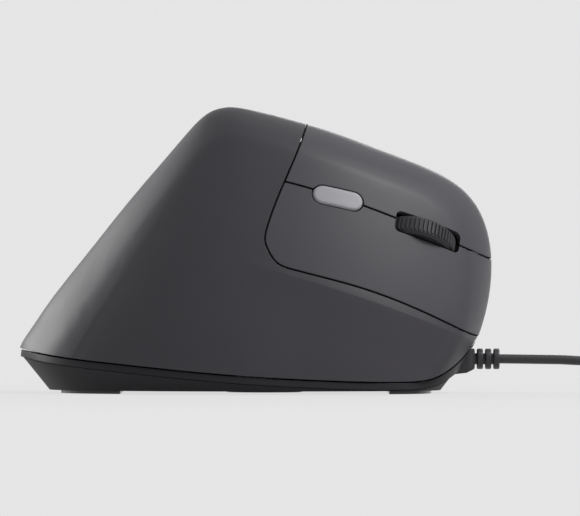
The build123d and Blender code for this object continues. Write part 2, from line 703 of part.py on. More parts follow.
# Cradle: two cheeks, a pivot barrel behind the wheel and a tab over the wheel switch
cradle_low = axle_out - CRADLE_HEIGHT / 2
cradle_high = axle_out + CRADLE_HEIGHT / 2
tact_top = -BOARD_DEPTH + TACT_HEIGHT
tab_low = tact_top + TACT_KNOB_RISE + PRESS_GAP
cheek_front = WHEEL_SWITCH_FORWARD + CRADLE_WALL
cradle = rod(-CRADLE_PIVOT_BACK, (-cheek_end, cheek_end), axle_out, CRADLE_HEIGHT / 2)
for side in (-1, 1):
    sides = sorted((side * cheek_start, side * cheek_end))
    cradle += block((-CRADLE_PIVOT_BACK, cheek_front), sides, (cradle_low, cradle_high))
cradle += block((WHEEL_SWITCH_FORWARD - CRADLE_WALL, cheek_front),
                (cheek_start, WHEEL_SWITCH_UP + CRADLE_WALL), (tab_low, tab_low + CRADLE_WALL))
cradle -= rod(0, (-FAR, FAR), axle_out, AXLE_RADIUS + RUNNING_GAP)
cradle -= rod(-CRADLE_PIVOT_BACK, (-FAR, FAR), axle_out, AXLE_RADIUS + RUNNING_GAP)
encoder_low = -BOARD_DEPTH + ENCODER_LIFT
encoder = block((-ENCODER_LENGTH / 2, ENCODER_LENGTH / 2), (-encoder_end, -cheek_end),
                (encoder_low, encoder_low + ENCODER_HEIGHT))
encoder -= rod(0, (-encoder_end + CRADLE_WALL - PRESS_GAP, 0), axle_out, AXLE_RADIUS + RUNNING_GAP)
lug_end = cheek_end + SIDE_GAP + CRADLE_LUG_WALL
pivot_pin = rod(-CRADLE_PIVOT_BACK, (-lug_end, lug_end), axle_out, AXLE_RADIUS)
write("wheel_cradle", cradle)
write("wheel_encoder", encoder)
write("cradle_pin", pivot_pin)

# Chassis: plate under the finger board, standoffs, lugs for both pins, and three posts down to the floor
board_low = -BOARD_DEPTH - BOARD_THICKNESS
plate_top = board_low - STANDOFF
plate_low = plate_top - CHASSIS_WALL
standoff_places = []
for along in (-BOARD_BACK + STANDOFF_BACK, BOARD_FRONT - POST_RADIUS):
    for up in (-BOARD_DOWN + POST_RADIUS, CHASSIS_UP - STANDOFF_UP):
        standoff_places.append((along, up))
chassis = block((-BOARD_BACK, BOARD_FRONT), (-BOARD_DOWN, CHASSIS_UP), (plate_low, plate_top))
chassis -= block((-NOTCH_BACK, FAR), (-cheek_end - SIDE_GAP, cheek_end + SIDE_GAP), (-FAR, FAR))
for along, up in standoff_places:
    chassis += peg(along, up, (plate_top, board_low), STANDOFF_RADIUS)
for side in (-1, 1):
    sides = sorted((side * (cheek_end + SIDE_GAP), side * lug_end))
    chassis += block((-CRADLE_PIVOT_BACK - CRADLE_HEIGHT / 2, -CRADLE_PIVOT_BACK + CRADLE_HEIGHT / 2), sides,
                     (plate_low, cradle_high))
hinge_lugs = [(upper_barrel[1] + HINGE_SIDE_GAP, upper_barrel[1] + HINGE_SIDE_GAP + HINGE_LUG),
              (HINGE_MIDDLE - HINGE_LUG / 2, HINGE_MIDDLE + HINGE_LUG / 2),
              (lower_barrel[0] - HINGE_SIDE_GAP - HINGE_LUG, lower_barrel[0] - HINGE_SIDE_GAP)]
for sides in hinge_lugs:
    lug = block((-HINGE_BACK - HINGE_BARREL_RADIUS, -BOARD_BACK + HINGE_LUG), sides,
                (-HINGE_DEPTH - HINGE_BARREL_RADIUS, plate_top))
    chassis += lug & under_shell
for x, y in posts:
    column = Pos(x, y, (floor_top + HEIGHT) / 2) * Cylinder(POST_RADIUS, HEIGHT - floor_top)
    column &= block((-BOARD_BACK, FAR), (-FAR, FAR), (-FAR, plate_low + CHASSIS_WALL / 2))
    chassis += column
    chassis -= Pos(x, y, floor_top + SCREW_LENGTH / 2) * Cylinder(SCREW_RADIUS + THREAD_GAP, SCREW_LENGTH)
chassis -= rod(-HINGE_BACK, (-FAR, FAR), -HINGE_DEPTH, HINGE_PIN_RADIUS + THREAD_GAP)
chassis -= rod(-CRADLE_PIVOT_BACK, (-FAR, FAR), axle_out, AXLE_RADIUS + THREAD_GAP)
for along, up in standoff_places:
    chassis -= peg(along, up, (board_low - SMALL_SCREW_LENGTH + BOARD_THICKNESS, board_low),
                   SMALL_SCREW_RADIUS + THREAD_GAP)
hinge_pin = rod(-HINGE_BACK, (hinge_lugs[2][0], hinge_lugs[0][1]), -HINGE_DEPTH, HINGE_PIN_RADIUS)
write("chassis", chassis)
write("button_hinge_pin", hinge_pin)

# Finger board with its switches
finger_board = block((-BOARD_BACK, BOARD_FRONT), (-BOARD_DOWN, BOARD_UP), (board_low, -BOARD_DEPTH))
finger_board -= block((-NOTCH_BACK, FAR), (-lug_end - SIDE_GAP, lug_end + SIDE_GAP), (-FAR, FAR))
for along, up in standoff_places:
    finger_board -= peg(along, up, (-FAR / 2, 0), SMALL_SCREW_RADIUS + THREAD_GAP)
write("finger_board", finger_board)
board_screws = []
for along, up in standoff_places:
    head = peg(along, up, (-BOARD_DEPTH, -BOARD_DEPTH + SMALL_HEAD), SMALL_HEAD_RADIUS)
    shank = peg(along, up, (-BOARD_DEPTH - SMALL_SCREW_LENGTH, -BOARD_DEPTH), SMALL_SCREW_RADIUS)
    board_screws.append(head + shank)


def finger_switch(name, up):
    """Long switch under a finger button, and its knob."""
    sides = (up - SWITCH_WIDTH / 2, up + SWITCH_WIDTH / 2)
    body = block((-SWITCH_BACK - SWITCH_LENGTH / 2, -SWITCH_BACK + SWITCH_LENGTH / 2), sides,
                 (-BOARD_DEPTH, -BOARD_DEPTH + SWITCH_HEIGHT))
    top = -BOARD_DEPTH + SWITCH_HEIGHT
    reach = (-SWITCH_BACK - KNOB_WIDTH / 2, -SWITCH_BACK + KNOB_WIDTH / 2)
    knob_sides = (up - KNOB_LENGTH / 2, up + KNOB_LENGTH / 2)
    knob = block(reach, knob_sides, (top - KNOB_SINK, top + KNOB_RISE))
    body -= block((reach[0] - RUNNING_GAP, reach[1] + RUNNING_GAP),
                  (knob_sides[0] - RUNNING_GAP, knob_sides[1] + RUNNING_GAP), (top - 2 * KNOB_SINK, top))
    write(name + "_switch", body)
    write(name + "_knob", knob)


def tact_forms():
    """Small square switch standing on Z, and its round knob."""
    body = Pos(0, 0, TACT_HEIGHT / 2) * Box(TACT_SIZE, TACT_SIZE, TACT_HEIGHT)
    pocket = Pos(0, 0, TACT_HEIGHT - KNOB_SINK) * Cylinder(TACT_KNOB_RADIUS + RUNNING_GAP, 2 * KNOB_SINK)
    knob_length = KNOB_SINK + TACT_KNOB_RISE
    knob = Pos(0, 0, TACT_HEIGHT + TACT_KNOB_RISE - knob_length / 2) * Cylinder(TACT_KNOB_RADIUS, knob_length)
    return body - pocket, knob


finger_switch("primary", SWITCH_UP)
finger_switch("secondary", -SWITCH_DOWN)
for name, along, up in (("wheel", WHEEL_SWITCH_FORWARD, WHEEL_SWITCH_UP), ("dpi", -DPI_BACK, DPI_UP)):
    tact_body, tact_knob = tact_forms()
    place = on_face * Pos(along, up, -BOARD_DEPTH)
    write(name + "_switch", place * tact_body)
    write(name + "_knob", place * tact_knob)

# Resolution button and its guide
dpi_skin = skin_solid(-DPI_RISE)
dpi_cap = slug(-DPI_BACK, DPI_UP, (-DPI_BODY_DEPTH, OVERRUN / 2), DPI_LENGTH, DPI_WIDTH) & dpi_skin
dpi_top = dpi_cap.faces().sort_by(lambda face: (face.center() - face_plane.origin).dot(face_out))[-1]
dpi_cap = fillet(dpi_top.edges(), DPI_ROUND)
dpi_stem = peg(-DPI_BACK, DPI_UP, (tab_low, -DPI_BODY_DEPTH), TACT_KNOB_RADIUS)
dpi_button = dpi_cap + dpi_stem
guide_inner = (DPI_LENGTH + 2 * GUIDE_GAP, DPI_WIDTH + 2 * GUIDE_GAP)
guide_top = skin_solid(BUTTON_WALL + 2 * ARM_GAP)
guide = slug(-DPI_BACK, DPI_UP, (-BOARD_DEPTH, 0), guide_inner[0] + 2 * GUIDE_WALL,
             guide_inner[1] + 2 * GUIDE_WALL)
guide = (guide & guide_top) - slug(-DPI_BACK, DPI_UP, (-FAR / 2, FAR / 2), *guide_inner)
write("dpi_button", dpi_button)
write("dpi_guide", guide)

# Thumb buttons: cap over the opening, flange behind it, stem to the switch
thumb_outer = skin_solid(-THUMB_BUTTON_RISE)
flange_inner = skin_solid(SHELL_WALL + ARM_GAP + THUMB_FLANGE)
thumb_switch_face = THUMB_BOARD_PLACE + BOARD_THICKNESS
stem_start = thumb_switch_face + TACT_HEIGHT + TACT_KNOB_RISE + PRESS_GAP
for name, place in zip(("back", "forward"), thumb_places):
    cap = (thumb_button_area(place) & thumb_outer) - flange_inner
    flange = (thumb_button_area(place, THUMB_FLANGE) & under_shell) - flange_inner
    deep = skin_side(place[0], place[1], 1) - SHELL_WALL - ARM_GAP
    stem = Rot(90, 0, 0) * Cylinder(TACT_KNOB_RADIUS, deep - stem_start)
    stem = Pos(place[0], (stem_start + deep) / 2, place[1]) * stem
    write(name + "_button", cap + flange + stem)
    tact_body, tact_knob = tact_forms()
    stand = Pos(place[0], thumb_switch_face, place[1]) * Rot(-90, 0, 0)
    write(name + "_switch", stand * tact_body)
    write(name + "_knob", stand * tact_knob)


# Base: one closed ring of points where the lower strip of the side meets the bevel
bevel_run = 1 / math.tan(math.radians(BEVEL_ANGLE))
RING_CENTRE = -0.025 * LENGTH


def is_inside(x, y, z):
    """Whether a point lies within the skin."""
    angle = math.degrees(math.atan2(z + FAN_DEPTH, x))
    if float(crest_reach(angle)) <= math.hypot(x, z + FAN_DEPTH):
        return False
    return skin_side(x, z, -1) < y < skin_side(x, z, 1)


def footprint(draw_in, height):
    """Closed outline of the bevel at a height, drawn in from the skin at the strip's lower edge."""
    edge = []
    for number in range(RING_POINTS):
        turn = 2 * math.pi * number / RING_POINTS
        near, far = 0.0, LENGTH
        while far - near > LENGTH / RING_STEPS:
            reach = (near + far) / 2
            x = RING_CENTRE + reach * math.cos(turn)
            low = parting_height(x) - TRIM_HEIGHT
            if is_inside(x, reach * math.sin(turn), low):
                near = reach
            else:
                far = reach
        edge.append(Vector(RING_CENTRE + near * math.cos(turn), near * math.sin(turn), 0))
    outline = []
    for number, point in enumerate(edge):
        along = (edge[(number + 1) % RING_POINTS] - edge[number - 1]).normalized()
        inward = Vector(-along.Y, along.X, 0)
        run = (parting_height(point.X) - TRIM_HEIGHT - height) * bevel_run + draw_in
        outline.append(point + inward * run + Vector(0, 0, height))
    return Wire(Spline(*outline, periodic=True))


def bevelled(draw_in, low):
    """Solid that widens upward at the bevel's slope."""
    return Solid.make_loft([footprint(draw_in, low), footprint(draw_in, BASE_TOP)], ruled=True)


def upright(x, y, heights, radius):
    """Round post or hole between two heights."""
    return Pos(x, y, sum(heights) / 2) * Cylinder(radius, heights[1] - heights[0])


def slab(xs, ys, zs):
    """Box between two places each way."""
    return Pos(sum(xs) / 2, sum(ys) / 2, sum(zs) / 2) * Box(xs[1] - xs[0], ys[1] - ys[0], zs[1] - zs[0])


def level_ring(height, draw_in):
    """Closed outline of the skin at a height, drawn in level."""
    edge = []
    for number in range(RING_POINTS):
        turn = 2 * math.pi * number / RING_POINTS
        near, far = 0.0, LENGTH
        while far - near > LENGTH / RING_STEPS:
            reach = (near + far) / 2
            if is_inside(RING_CENTRE + reach * math.cos(turn), reach * math.sin(turn), height):
                near = reach
            else:
                far = reach
        edge.append(Vector(RING_CENTRE + near * math.cos(turn), near * math.sin(turn), height))
    outline = []
    for number, point in enumerate(edge):
        along = (edge[(number + 1) % RING_POINTS] - edge[number - 1]).normalized()
        outline.append(point + Vector(-along.Y, along.X, 0) * draw_in)
    return Wire(Spline(*outline, periodic=True))


def low_body(draw_in):
    """Lowest part of the skin's form, drawn in level."""
    heights = [BOSS_TOP * row / LEVEL_ROWS for row in range(LEVEL_ROWS + 1)]
    return Solid.make_loft([level_ring(height, draw_in) for height in heights], ruled=False)


below_trim = -TRIM_HEIGHT - PARTING_GAP / 2
bevel_form = bevelled(BASE_INSET, BASE_CLEARANCE)
inner_floor = low_body(TRIM_INSET + TRIM_WALL + FLOOR_GAP)
inner_floor &= slab((-LENGTH, LENGTH), (-LENGTH, LENGTH), (0, floor_top))
base_cover = bevel_form - bevelled(BASE_INSET + BASE_WALL, floor_top) - above_parting(below_trim)
base_cover += inner_floor & bevel_form
trim_band = prism(band(parting_shares, below_trim + TRIM_GAP, -PARTING_GAP / 2))
trim = (low_body(TRIM_INSET) - low_body(TRIM_INSET + TRIM_WALL)) & trim_band

# Gland block of the strain relief, held in the front wall
gland_points = [(GLAND_BACK, GLAND_TOP), (GLAND_BACK, GLAND_LOW)]
gland_points += [(x * LENGTH, z * HEIGHT) for x, z in gland_shares]
gland_points.append((gland_points[-1][0], 2 * CORD_HEIGHT - gland_points[-1][1]))
pocket_side = GLAND_HALF_WIDTH + RUNNING_GAP
pocket = slab((GLAND_BACK - RUNNING_GAP, LENGTH), (-pocket_side, pocket_side),
              (GLAND_LOW - RUNNING_GAP, GLAND_TOP + RUNNING_GAP))
base_cover -= pocket
trim -= pocket
main_shell -= pocket

# Base: screw seats, board standoffs, sensor window
screw_places = finger_bosses + thumb_bosses + posts
main_board_places = [(x, y) for x in (MAIN_BOARD_REAR + POST_RADIUS, MAIN_BOARD_FRONT - POST_RADIUS)
                     for y in (MAIN_BOARD_LOW + POST_RADIUS, MAIN_BOARD_HIGH - POST_RADIUS)]
seat_depth = SCREW_HEAD + PRESS_GAP
main_low = floor_top + MAIN_STANDOFF
main_top = main_low + BOARD_THICKNESS
for x, y in main_board_places:
    base_cover += upright(x, y, (floor_top - FLOOR_WALL / 2, main_low), STANDOFF_RADIUS)
for x, y in main_board_places:
    base_cover -= upright(x, y, (main_top - SMALL_SCREW_LENGTH, main_low), SMALL_SCREW_RADIUS + THREAD_GAP)
for x, y in screw_places:
    base_cover -= upright(x, y, (0, BASE_CLEARANCE + seat_depth), SCREW_HEAD_RADIUS + PRESS_GAP)
    base_cover -= upright(x, y, (0, LENGTH), SCREW_RADIUS + PRESS_GAP)
base_cover -= upright(*SENSOR_PLACE, (0, 2 * floor_top), WINDOW_RADIUS)
base_screws = []
for x, y in screw_places:
    head = upright(x, y, (BASE_CLEARANCE + PRESS_GAP, BASE_CLEARANCE + seat_depth), SCREW_HEAD_RADIUS)
    shank = upright(x, y, (BASE_CLEARANCE + SCREW_HEAD, floor_top + SCREW_LENGTH - SCREW_HEAD), SCREW_RADIUS)
    base_screws.append(head + shank)

# Glides under the base
foot_face = make_face(footprint(BASE_INSET + FOOT_INSET, BASE_CLEARANCE))
foot_form = extrude(foot_face, amount=BASE_CLEARANCE, dir=(0, 0, -1))
for name, reach in (("rear_foot", rear_foot_shares), ("front_foot", front_foot_shares)):
    span = slab((reach[0] * LENGTH, reach[1] * LENGTH), (-LENGTH, LENGTH), (-LENGTH, LENGTH))
    write(name, foot_form & span)
window_foot = upright(*SENSOR_PLACE, (0, BASE_CLEARANCE), SENSOR_FOOT_RADIUS)
window_foot -= upright(*SENSOR_PLACE, (0, BASE_CLEARANCE), SENSOR_FOOT_OPENING)
write("sensor_foot", window_foot)
write("main_shell", main_shell)
write("base_cover", base_cover)
write("trim_strip", trim)
write("base_screws", Compound(children=base_screws))

# Main board with the sensor, its lens, the controller and the lead's socket
main_board = slab((MAIN_BOARD_REAR, MAIN_BOARD_FRONT), (MAIN_BOARD_LOW, MAIN_BOARD_HIGH),
                  (main_low, main_top))
main_board -= upright(*SENSOR_PLACE, (0, LENGTH), WINDOW_RADIUS)
for x, y in main_board_places:
    main_board -= upright(x, y, (0, LENGTH), SMALL_SCREW_RADIUS + THREAD_GAP)
    head = upright(x, y, (main_top, main_top + SMALL_HEAD), SMALL_HEAD_RADIUS)
    shank = upright(x, y, (main_top - SMALL_SCREW_LENGTH + THREAD_GAP, main_top), SMALL_SCREW_RADIUS)
    board_screws.append(head + shank)
write("main_board", main_board)
write("board_screws", Compound(children=board_screws))


def on_board(place, length, width, height):
    """Box that stands on the main board, its middle at a place."""
    return Pos(place[0], place[1], main_top + height / 2) * Box(length, width, height)


write("sensor_chip", on_board(SENSOR_PLACE, SENSOR_LENGTH, SENSOR_WIDTH, SENSOR_HEIGHT))
lens_top = main_low
lens = slab((SENSOR_PLACE[0] - LENS_LENGTH / 2, SENSOR_PLACE[0] + LENS_LENGTH / 2),
            (SENSOR_PLACE[1] - LENS_WIDTH / 2, SENSOR_PLACE[1] + LENS_WIDTH / 2), (floor_top, lens_top))
lens += upright(*SENSOR_PLACE, (BASE_CLEARANCE + SCREW_HEAD, floor_top), WINDOW_RADIUS - RUNNING_GAP)
lens += upright(*SENSOR_PLACE, (lens_top, main_top), WINDOW_RADIUS - RUNNING_GAP)
write("sensor_lens", lens)
controller_place = (CONTROLLER_X, SENSOR_PLACE[1])
write("controller_chip", on_board(controller_place, CONTROLLER_SIZE, CONTROLLER_SIZE, CONTROLLER_HEIGHT))
socket_place = (MAIN_BOARD_FRONT - SOCKET_LENGTH, (MAIN_BOARD_LOW + MAIN_BOARD_HIGH) / 2)
write("lead_socket", on_board(socket_place, SOCKET_LENGTH, SOCKET_WIDTH, SOCKET_HEIGHT))

# Strain relief: ribs on a sleeve, gland block behind it, seated in the front wall
relief = prism(make_face(Polyline(*[(x, 0, z) for x, z in gland_points], close=True)), -GLAND_HALF_WIDTH,
               GLAND_HALF_WIDTH)
relief = fillet(relief.edges().filter_by(Axis.Z).group_by(Axis.X)[-1], GLAND_ROUND)
sleeve = Rot(0, 90, 0) * Cylinder(RELIEF_CORE_RADIUS, relief_end - RELIEF_START)
relief += Pos((RELIEF_START + relief_end) / 2, 0, CORD_HEIGHT) * sleeve
rib_ring = Cylinder(RELIEF_RIB_RADIUS, RELIEF_RIB)
rib_ring = Rot(0, 90, 0) * fillet(rib_ring.edges().filter_by(GeomType.CIRCLE), RELIEF_ROUND)
for rib in range(RELIEF_COUNT):
    relief += Pos(RELIEF_FIRST + RELIEF_RIB / 2 + rib * RELIEF_PITCH, 0, CORD_HEIGHT) * rib_ring
write("strain_relief", relief)

# Coil: loops that spiral in and out again in four layers, then down beside them to the plug
coil_outer = COIL_INNER + COIL_HALF_TURNS * COIL_PITCH / 2
coil_floor = CORD_RADIUS + COIL_LIFT
coil_centre = Vector(relief_end + COIL_AWAY, coil_outer, 0)
layer_turns = COIL_HALF_TURNS + 1
plug_height = PLUG_THICKNESS / 2


def coil_point(half_turns):
    """Point of the coil, a number of half turns in from its start."""
    layer = min(3, int((half_turns + 0.5) // layer_turns))
    along = half_turns - layer * layer_turns
    steady = min(max(along, -0.5), COIL_HALF_TURNS + (0.5 if layer < 3 else 0))
    if layer % 2 == 0:
        radius = coil_outer - steady * COIL_PITCH / 2
    else:
        radius = COIL_INNER + steady * COIL_PITCH / 2
    climb = min(max((along - COIL_HALF_TURNS), 0.0), 1.0) if layer < 3 else 0.0
    if along < 0:
        climb = along + 1
        layer -= 1
    height = coil_floor + COIL_PITCH * (layer + climb * climb * (3 - 2 * climb))
    tail = (half_turns - 3 * layer_turns - COIL_HALF_TURNS)
    if tail > 0:
        share = ease(tail)
        radius = coil_outer + (TAIL_SPREAD * share)
        height += (plug_height - height) * share
    angle = math.pi * (half_turns - 0.5)
    return coil_centre + Vector(radius * math.cos(angle), radius * math.sin(angle), height)


def coil_heading(half_turns, step=0.01):
    """Direction of travel there."""
    return (coil_point(half_turns + step) - coil_point(half_turns - step)).normalized()


def biarc(start, start_along, stop, stop_along):
    """Two arcs that leave one point and reach another in the given directions."""
    gap = stop - start
    both = start_along + stop_along
    square = 2 * (1 - start_along.dot(stop_along))
    lead = gap.dot(both)
    length = (-lead + math.sqrt(lead * lead + square * gap.dot(gap))) / square
    middle = (start + start_along * length + stop - stop_along * length) / 2
    first = TangentArc([start, middle], tangent=start_along)
    return [first, TangentArc([middle, stop], tangent=first % 1)]


coil_half_turns = 4 * COIL_HALF_TURNS + 3 + 1
quarter_count = 2 * coil_half_turns
stations = [number / 2 for number in range(quarter_count + 1)]
coil_places = [coil_point(station) for station in stations]
coil_ways = [coil_heading(station) for station in stations]
coil_ways[0] = Vector(1, 0, 0)
coil_ways[-1] = Vector(math.cos(math.pi * coil_half_turns), 0, 0).normalized()
coil_start = coil_places[0] - coil_ways[0] * (2 * CORD_RADIUS)
coil_end = coil_places[-1] + coil_ways[-1] * (2 * CORD_RADIUS)
coil_edges = [Line(coil_start, coil_places[0])]
stretches = zip(coil_places, coil_ways, coil_places[1:], coil_ways[1:])
for start, start_along, stop, stop_along in stretches:
    coil_edges += biarc(start, start_along, stop, stop_along)
coil_edges.append(Line(coil_places[-1], coil_end))
coil_line = Wire(coil_edges)
coil_samples = []
for edge in coil_edges:
    coil_samples += [edge @ (part / 8) for part in range(8)]
least = FAR
spacing = coil_line.length / len(coil_samples)
skip = int(6 * CORD_RADIUS / spacing) + 8
cloud = np.array([(point.X, point.Y, point.Z) for point in coil_samples])
for number in range(len(cloud) - skip):
    apart = np.linalg.norm(cloud[number + skip:] - cloud[number], axis=1)
    least = min(least, float(apart.min()))
print("coil's least gap to itself", round(least - 2 * CORD_RADIUS, 3))
coil_arcs = [edge for edge in coil_edges if edge.geom_type == GeomType.CIRCLE]
print("least coil radius", round(min(edge.radius for edge in coil_arcs), 2))


def tube(line, radius):
    """Round tube along a line."""
    return sweep(Plane(line @ 0, z_dir=line % 0) * Circle(radius), path=line)


coil = tube(coil_line, CORD_RADIUS)
cord_section = math.pi * CORD_RADIUS ** 2
print("coil volume over section times length", round(coil.volume / (cord_section * coil_line.length), 5))
write("cord_coil", coil)

# Free stretch: level out of the strain relief past the side view, then down to the desk and along to the coil
stretch_points = [Vector(relief_end, 0, CORD_HEIGHT), Vector(relief_end + STRETCH_LEVEL, 0, CORD_HEIGHT),
                  Vector(coil_start.X - STRETCH_LAST, 0, CORD_RADIUS + RUNNING_GAP), coil_start]


def route_radii(points):
    """Arc radii as large as each pair of runs allows."""
    radii = []
    for before, corner, after in zip(points, points[1:], points[2:]):
        half = math.radians((corner - before).get_angle(after - corner)) / 2
        radii.append(BEND_SHARE * min((corner - before).length, (after - corner).length) / math.tan(half))
    return radii


def routed(points):
    """Straight runs joined by tangent arcs."""
    return FilletPolyline(*points, radius=route_radii(points))


stretch_line = routed(stretch_points)
stretch = tube(stretch_line, CORD_RADIUS)
print("stretch radii", [round(radius, 1) for radius in route_radii(stretch_points)])
print("stretch volume over section times length",
      round(stretch.volume / (cord_section * stretch_line.length), 5))
print("cord length", round(coil_line.length + stretch_line.length, 1))
write("cord", stretch)

# Lead inside, from the gland to the main board's socket
lead_stop = Vector(socket_place[0] + SOCKET_LENGTH / 2, socket_place[1], main_top + SOCKET_HEIGHT / 2)
lead_points = [Vector(GLAND_BACK, 0, CORD_HEIGHT), Vector(GLAND_BACK - LEAD_RUN, 0, CORD_HEIGHT),
               Vector(lead_stop.X + LEAD_RUN, lead_stop.Y, lead_stop.Z), lead_stop]
lead_line = routed(lead_points)
print("inner lead radii", [round(radius, 1) for radius in route_radii(lead_points)])
write("inner_lead", tube(lead_line, CORD_RADIUS))

# Tie round the coil's section, opposite the plug's side
tie_inner = (coil_outer - COIL_INNER + COIL_PITCH / 4 + 2 * CORD_RADIUS + 2 * TIE_GAP,
             3 * COIL_PITCH + 2 * CORD_RADIUS + 2 * TIE_GAP)
tie_middle = (coil_outer + COIL_INNER - COIL_PITCH / 4) / 2
tie_face = RectangleRounded(tie_inner[0] + 2 * TIE_WALL, tie_inner[1] + 2 * TIE_WALL, TIE_CORNER + TIE_WALL)
tie_face -= RectangleRounded(*tie_inner, TIE_CORNER)
tie = extrude(Plane.XZ * tie_face, amount=TIE_WIDTH / 2, both=True)
tie = Pos(coil_centre.X + tie_middle, coil_centre.Y, coil_floor + 1.5 * COIL_PITCH) * tie
print("tie bottom", round(tie.bounding_box().min.Z, 3))
write("coil_tie", tie)

# Plug: overmould on the desk, metal shell and tongue
plug_start = coil_end.X
overmould = Box(PLUG_LENGTH, PLUG_WIDTH, PLUG_THICKNESS)
overmould = Pos(plug_start + PLUG_LENGTH / 2, coil_end.Y, plug_height) * overmould
overmould = fillet(overmould.edges().filter_by(Axis.X), PLUG_CORNER)
overmould = chamfer(overmould.faces().sort_by(Axis.X)[0].edges(), PLUG_CORNER / 2)
usb_start = plug_start + PLUG_LENGTH
usb = Box(USB_LENGTH, USB_WIDTH, USB_THICKNESS)
usb -= Box(USB_LENGTH, USB_WIDTH - 2 * USB_WALL, USB_THICKNESS - 2 * USB_WALL)
for side in (-1, 1):
    window = Box(USB_WINDOW, USB_WINDOW, USB_THICKNESS * 2)
    usb -= Pos(USB_WINDOW / 2, side * USB_WIDTH / 4, 0) * window
usb = Pos(usb_start + USB_LENGTH / 2, coil_end.Y, plug_height) * usb
tongue = Box(USB_LENGTH - USB_WALL, USB_WIDTH - 4 * USB_WALL, TONGUE_THICKNESS)
tongue = Pos(usb_start + (USB_LENGTH - USB_WALL) / 2, coil_end.Y,
             plug_height + USB_THICKNESS / 2 - USB_WALL - TONGUE_THICKNESS / 2 - RUNNING_GAP) * tongue
write("plug_overmould", overmould)
write("plug_shell", usb)
write("plug_tongue", tongue)

# Thumb board on two bosses inside the thumb shell
thumb_board_top = THUMB_BOARD_PLACE + BOARD_THICKNESS
thumb_board = slab((THUMB_X - THUMB_BOARD_LENGTH / 2, THUMB_X + THUMB_BOARD_LENGTH / 2),
                   (THUMB_BOARD_PLACE, thumb_board_top),
                   (THUMB_Z - THUMB_BOARD_DOWN, THUMB_Z + THUMB_BOARD_UP))
thumb_screws = []
for side in (-1, 1):
    x = THUMB_X + side * (THUMB_BOARD_LENGTH / 2 - SMALL_HEAD_RADIUS)
    z = THUMB_Z - THUMB_BOARD_DOWN + SMALL_HEAD_RADIUS
    column = Rot(90, 0, 0) * Cylinder(SMALL_HEAD_RADIUS, OVERRUN - thumb_board_top)
    column = Pos(x, (thumb_board_top + OVERRUN) / 2, z) * column
    bore = Rot(90, 0, 0) * Cylinder(SMALL_SCREW_RADIUS + THREAD_GAP, SMALL_SCREW_LENGTH)
    bore = Pos(x, thumb_board_top, z) * bore
    thumb_shell += column & shell_root
    thumb_shell -= bore
    thumb_board -= bore
    shank = Rot(90, 0, 0) * Cylinder(SMALL_SCREW_RADIUS, THUMB_SCREW_LENGTH)
    head = Rot(90, 0, 0) * Cylinder(SMALL_HEAD_RADIUS, SMALL_HEAD)
    thumb_screws.append(Pos(x, THUMB_BOARD_PLACE + THUMB_SCREW_LENGTH / 2, z) * shank
                        + Pos(x, THUMB_BOARD_PLACE - SMALL_HEAD / 2, z) * head)
write("thumb_board", thumb_board)
write("thumb_screws", Compound(children=thumb_screws))
write("thumb_shell", thumb_shell)
body_box = Compound(children=[main_shell, thumb_shell, primary, secondary, trim]).bounding_box()
print("body from", body_box.min, "to", body_box.max)
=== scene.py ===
"""Dresses an upright mouse: moulded shells, keys, ribbed wheel, cord, coil, plug and a plain studio."""
import math

import bmesh
import bpy
import numpy as np
from bpy.props import FloatProperty, FloatVectorProperty, IntProperty, PointerProperty
from mathutils import Matrix, Vector
from mathutils.bvhtree import BVHTree


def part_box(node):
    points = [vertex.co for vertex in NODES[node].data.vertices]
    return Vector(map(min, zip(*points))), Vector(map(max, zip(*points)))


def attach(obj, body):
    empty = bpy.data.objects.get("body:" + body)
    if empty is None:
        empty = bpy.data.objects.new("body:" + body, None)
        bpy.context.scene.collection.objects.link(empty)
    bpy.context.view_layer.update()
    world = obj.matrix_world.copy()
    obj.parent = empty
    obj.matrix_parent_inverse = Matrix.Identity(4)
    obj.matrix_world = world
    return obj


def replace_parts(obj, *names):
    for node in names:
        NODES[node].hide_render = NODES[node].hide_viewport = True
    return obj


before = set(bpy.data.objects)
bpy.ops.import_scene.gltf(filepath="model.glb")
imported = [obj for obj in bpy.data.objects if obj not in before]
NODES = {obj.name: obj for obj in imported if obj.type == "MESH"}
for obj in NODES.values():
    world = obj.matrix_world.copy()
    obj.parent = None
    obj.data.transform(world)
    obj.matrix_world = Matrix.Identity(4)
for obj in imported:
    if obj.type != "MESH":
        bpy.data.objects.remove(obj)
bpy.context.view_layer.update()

bl_info = {
    "name": "Upright mouse",
    "version": (1, 0, 0),
    "blender": (4, 5, 0),
    "location": "View3D > Sidebar > Mouse",
    "description": "Finishes, cord and studio for an upright mouse",
    "category": "Object",
}

# Distances within which points count as one: in a new piece, and in a copy of a CAD node
MERGE_NEW = 1e-7
MERGE_CAD = 1e-6

# Screw: shares of the head's height or radius, of the shank's radius, and the sides of a turn
HEAD_SOFT_SHARE = 0.35
THREAD_ROOT_SHARE = 0.78
SCREW_SIDES = 32
RECESS_TOP_SHARE = 0.68
RECESS_FOOT_SHARE = 0.4
RECESS_DEPTH_SHARE = 1.5
RECESS_WIDTH_SHARE = 0.26

# Contacts of the plug: place across and reach of each, then their shared sizes
CONTACTS = ((-0.0035, 0.0078), (-0.00125, 0.0068), (0.00125, 0.0068), (0.0035, 0.0078))
CONTACT_HALF_WIDTH = 0.0005
CONTACT_BACK = 0.001
CONTACT_PROUD = 0.00012
CONTACT_SUNK = 0.0001
SMALL_EDGE = 0.00005

# Solder legs on one side of the controller
LEG_WIDTH = 0.00028
LEG_REACH = 0.0006
LEG_PITCH = 0.0006
LEG_HEIGHT = 0.00022
LEG_COUNT = 10

# Seam lips, near-black as painted shade inside the seams: how far across a seam a wall looks for its neighbour, their
# depth, and the lean that isn't a wall
LIP_SEARCH = 0.0008
LIP_DEPTH = 0.0003
LIP_LEAN = 0.35

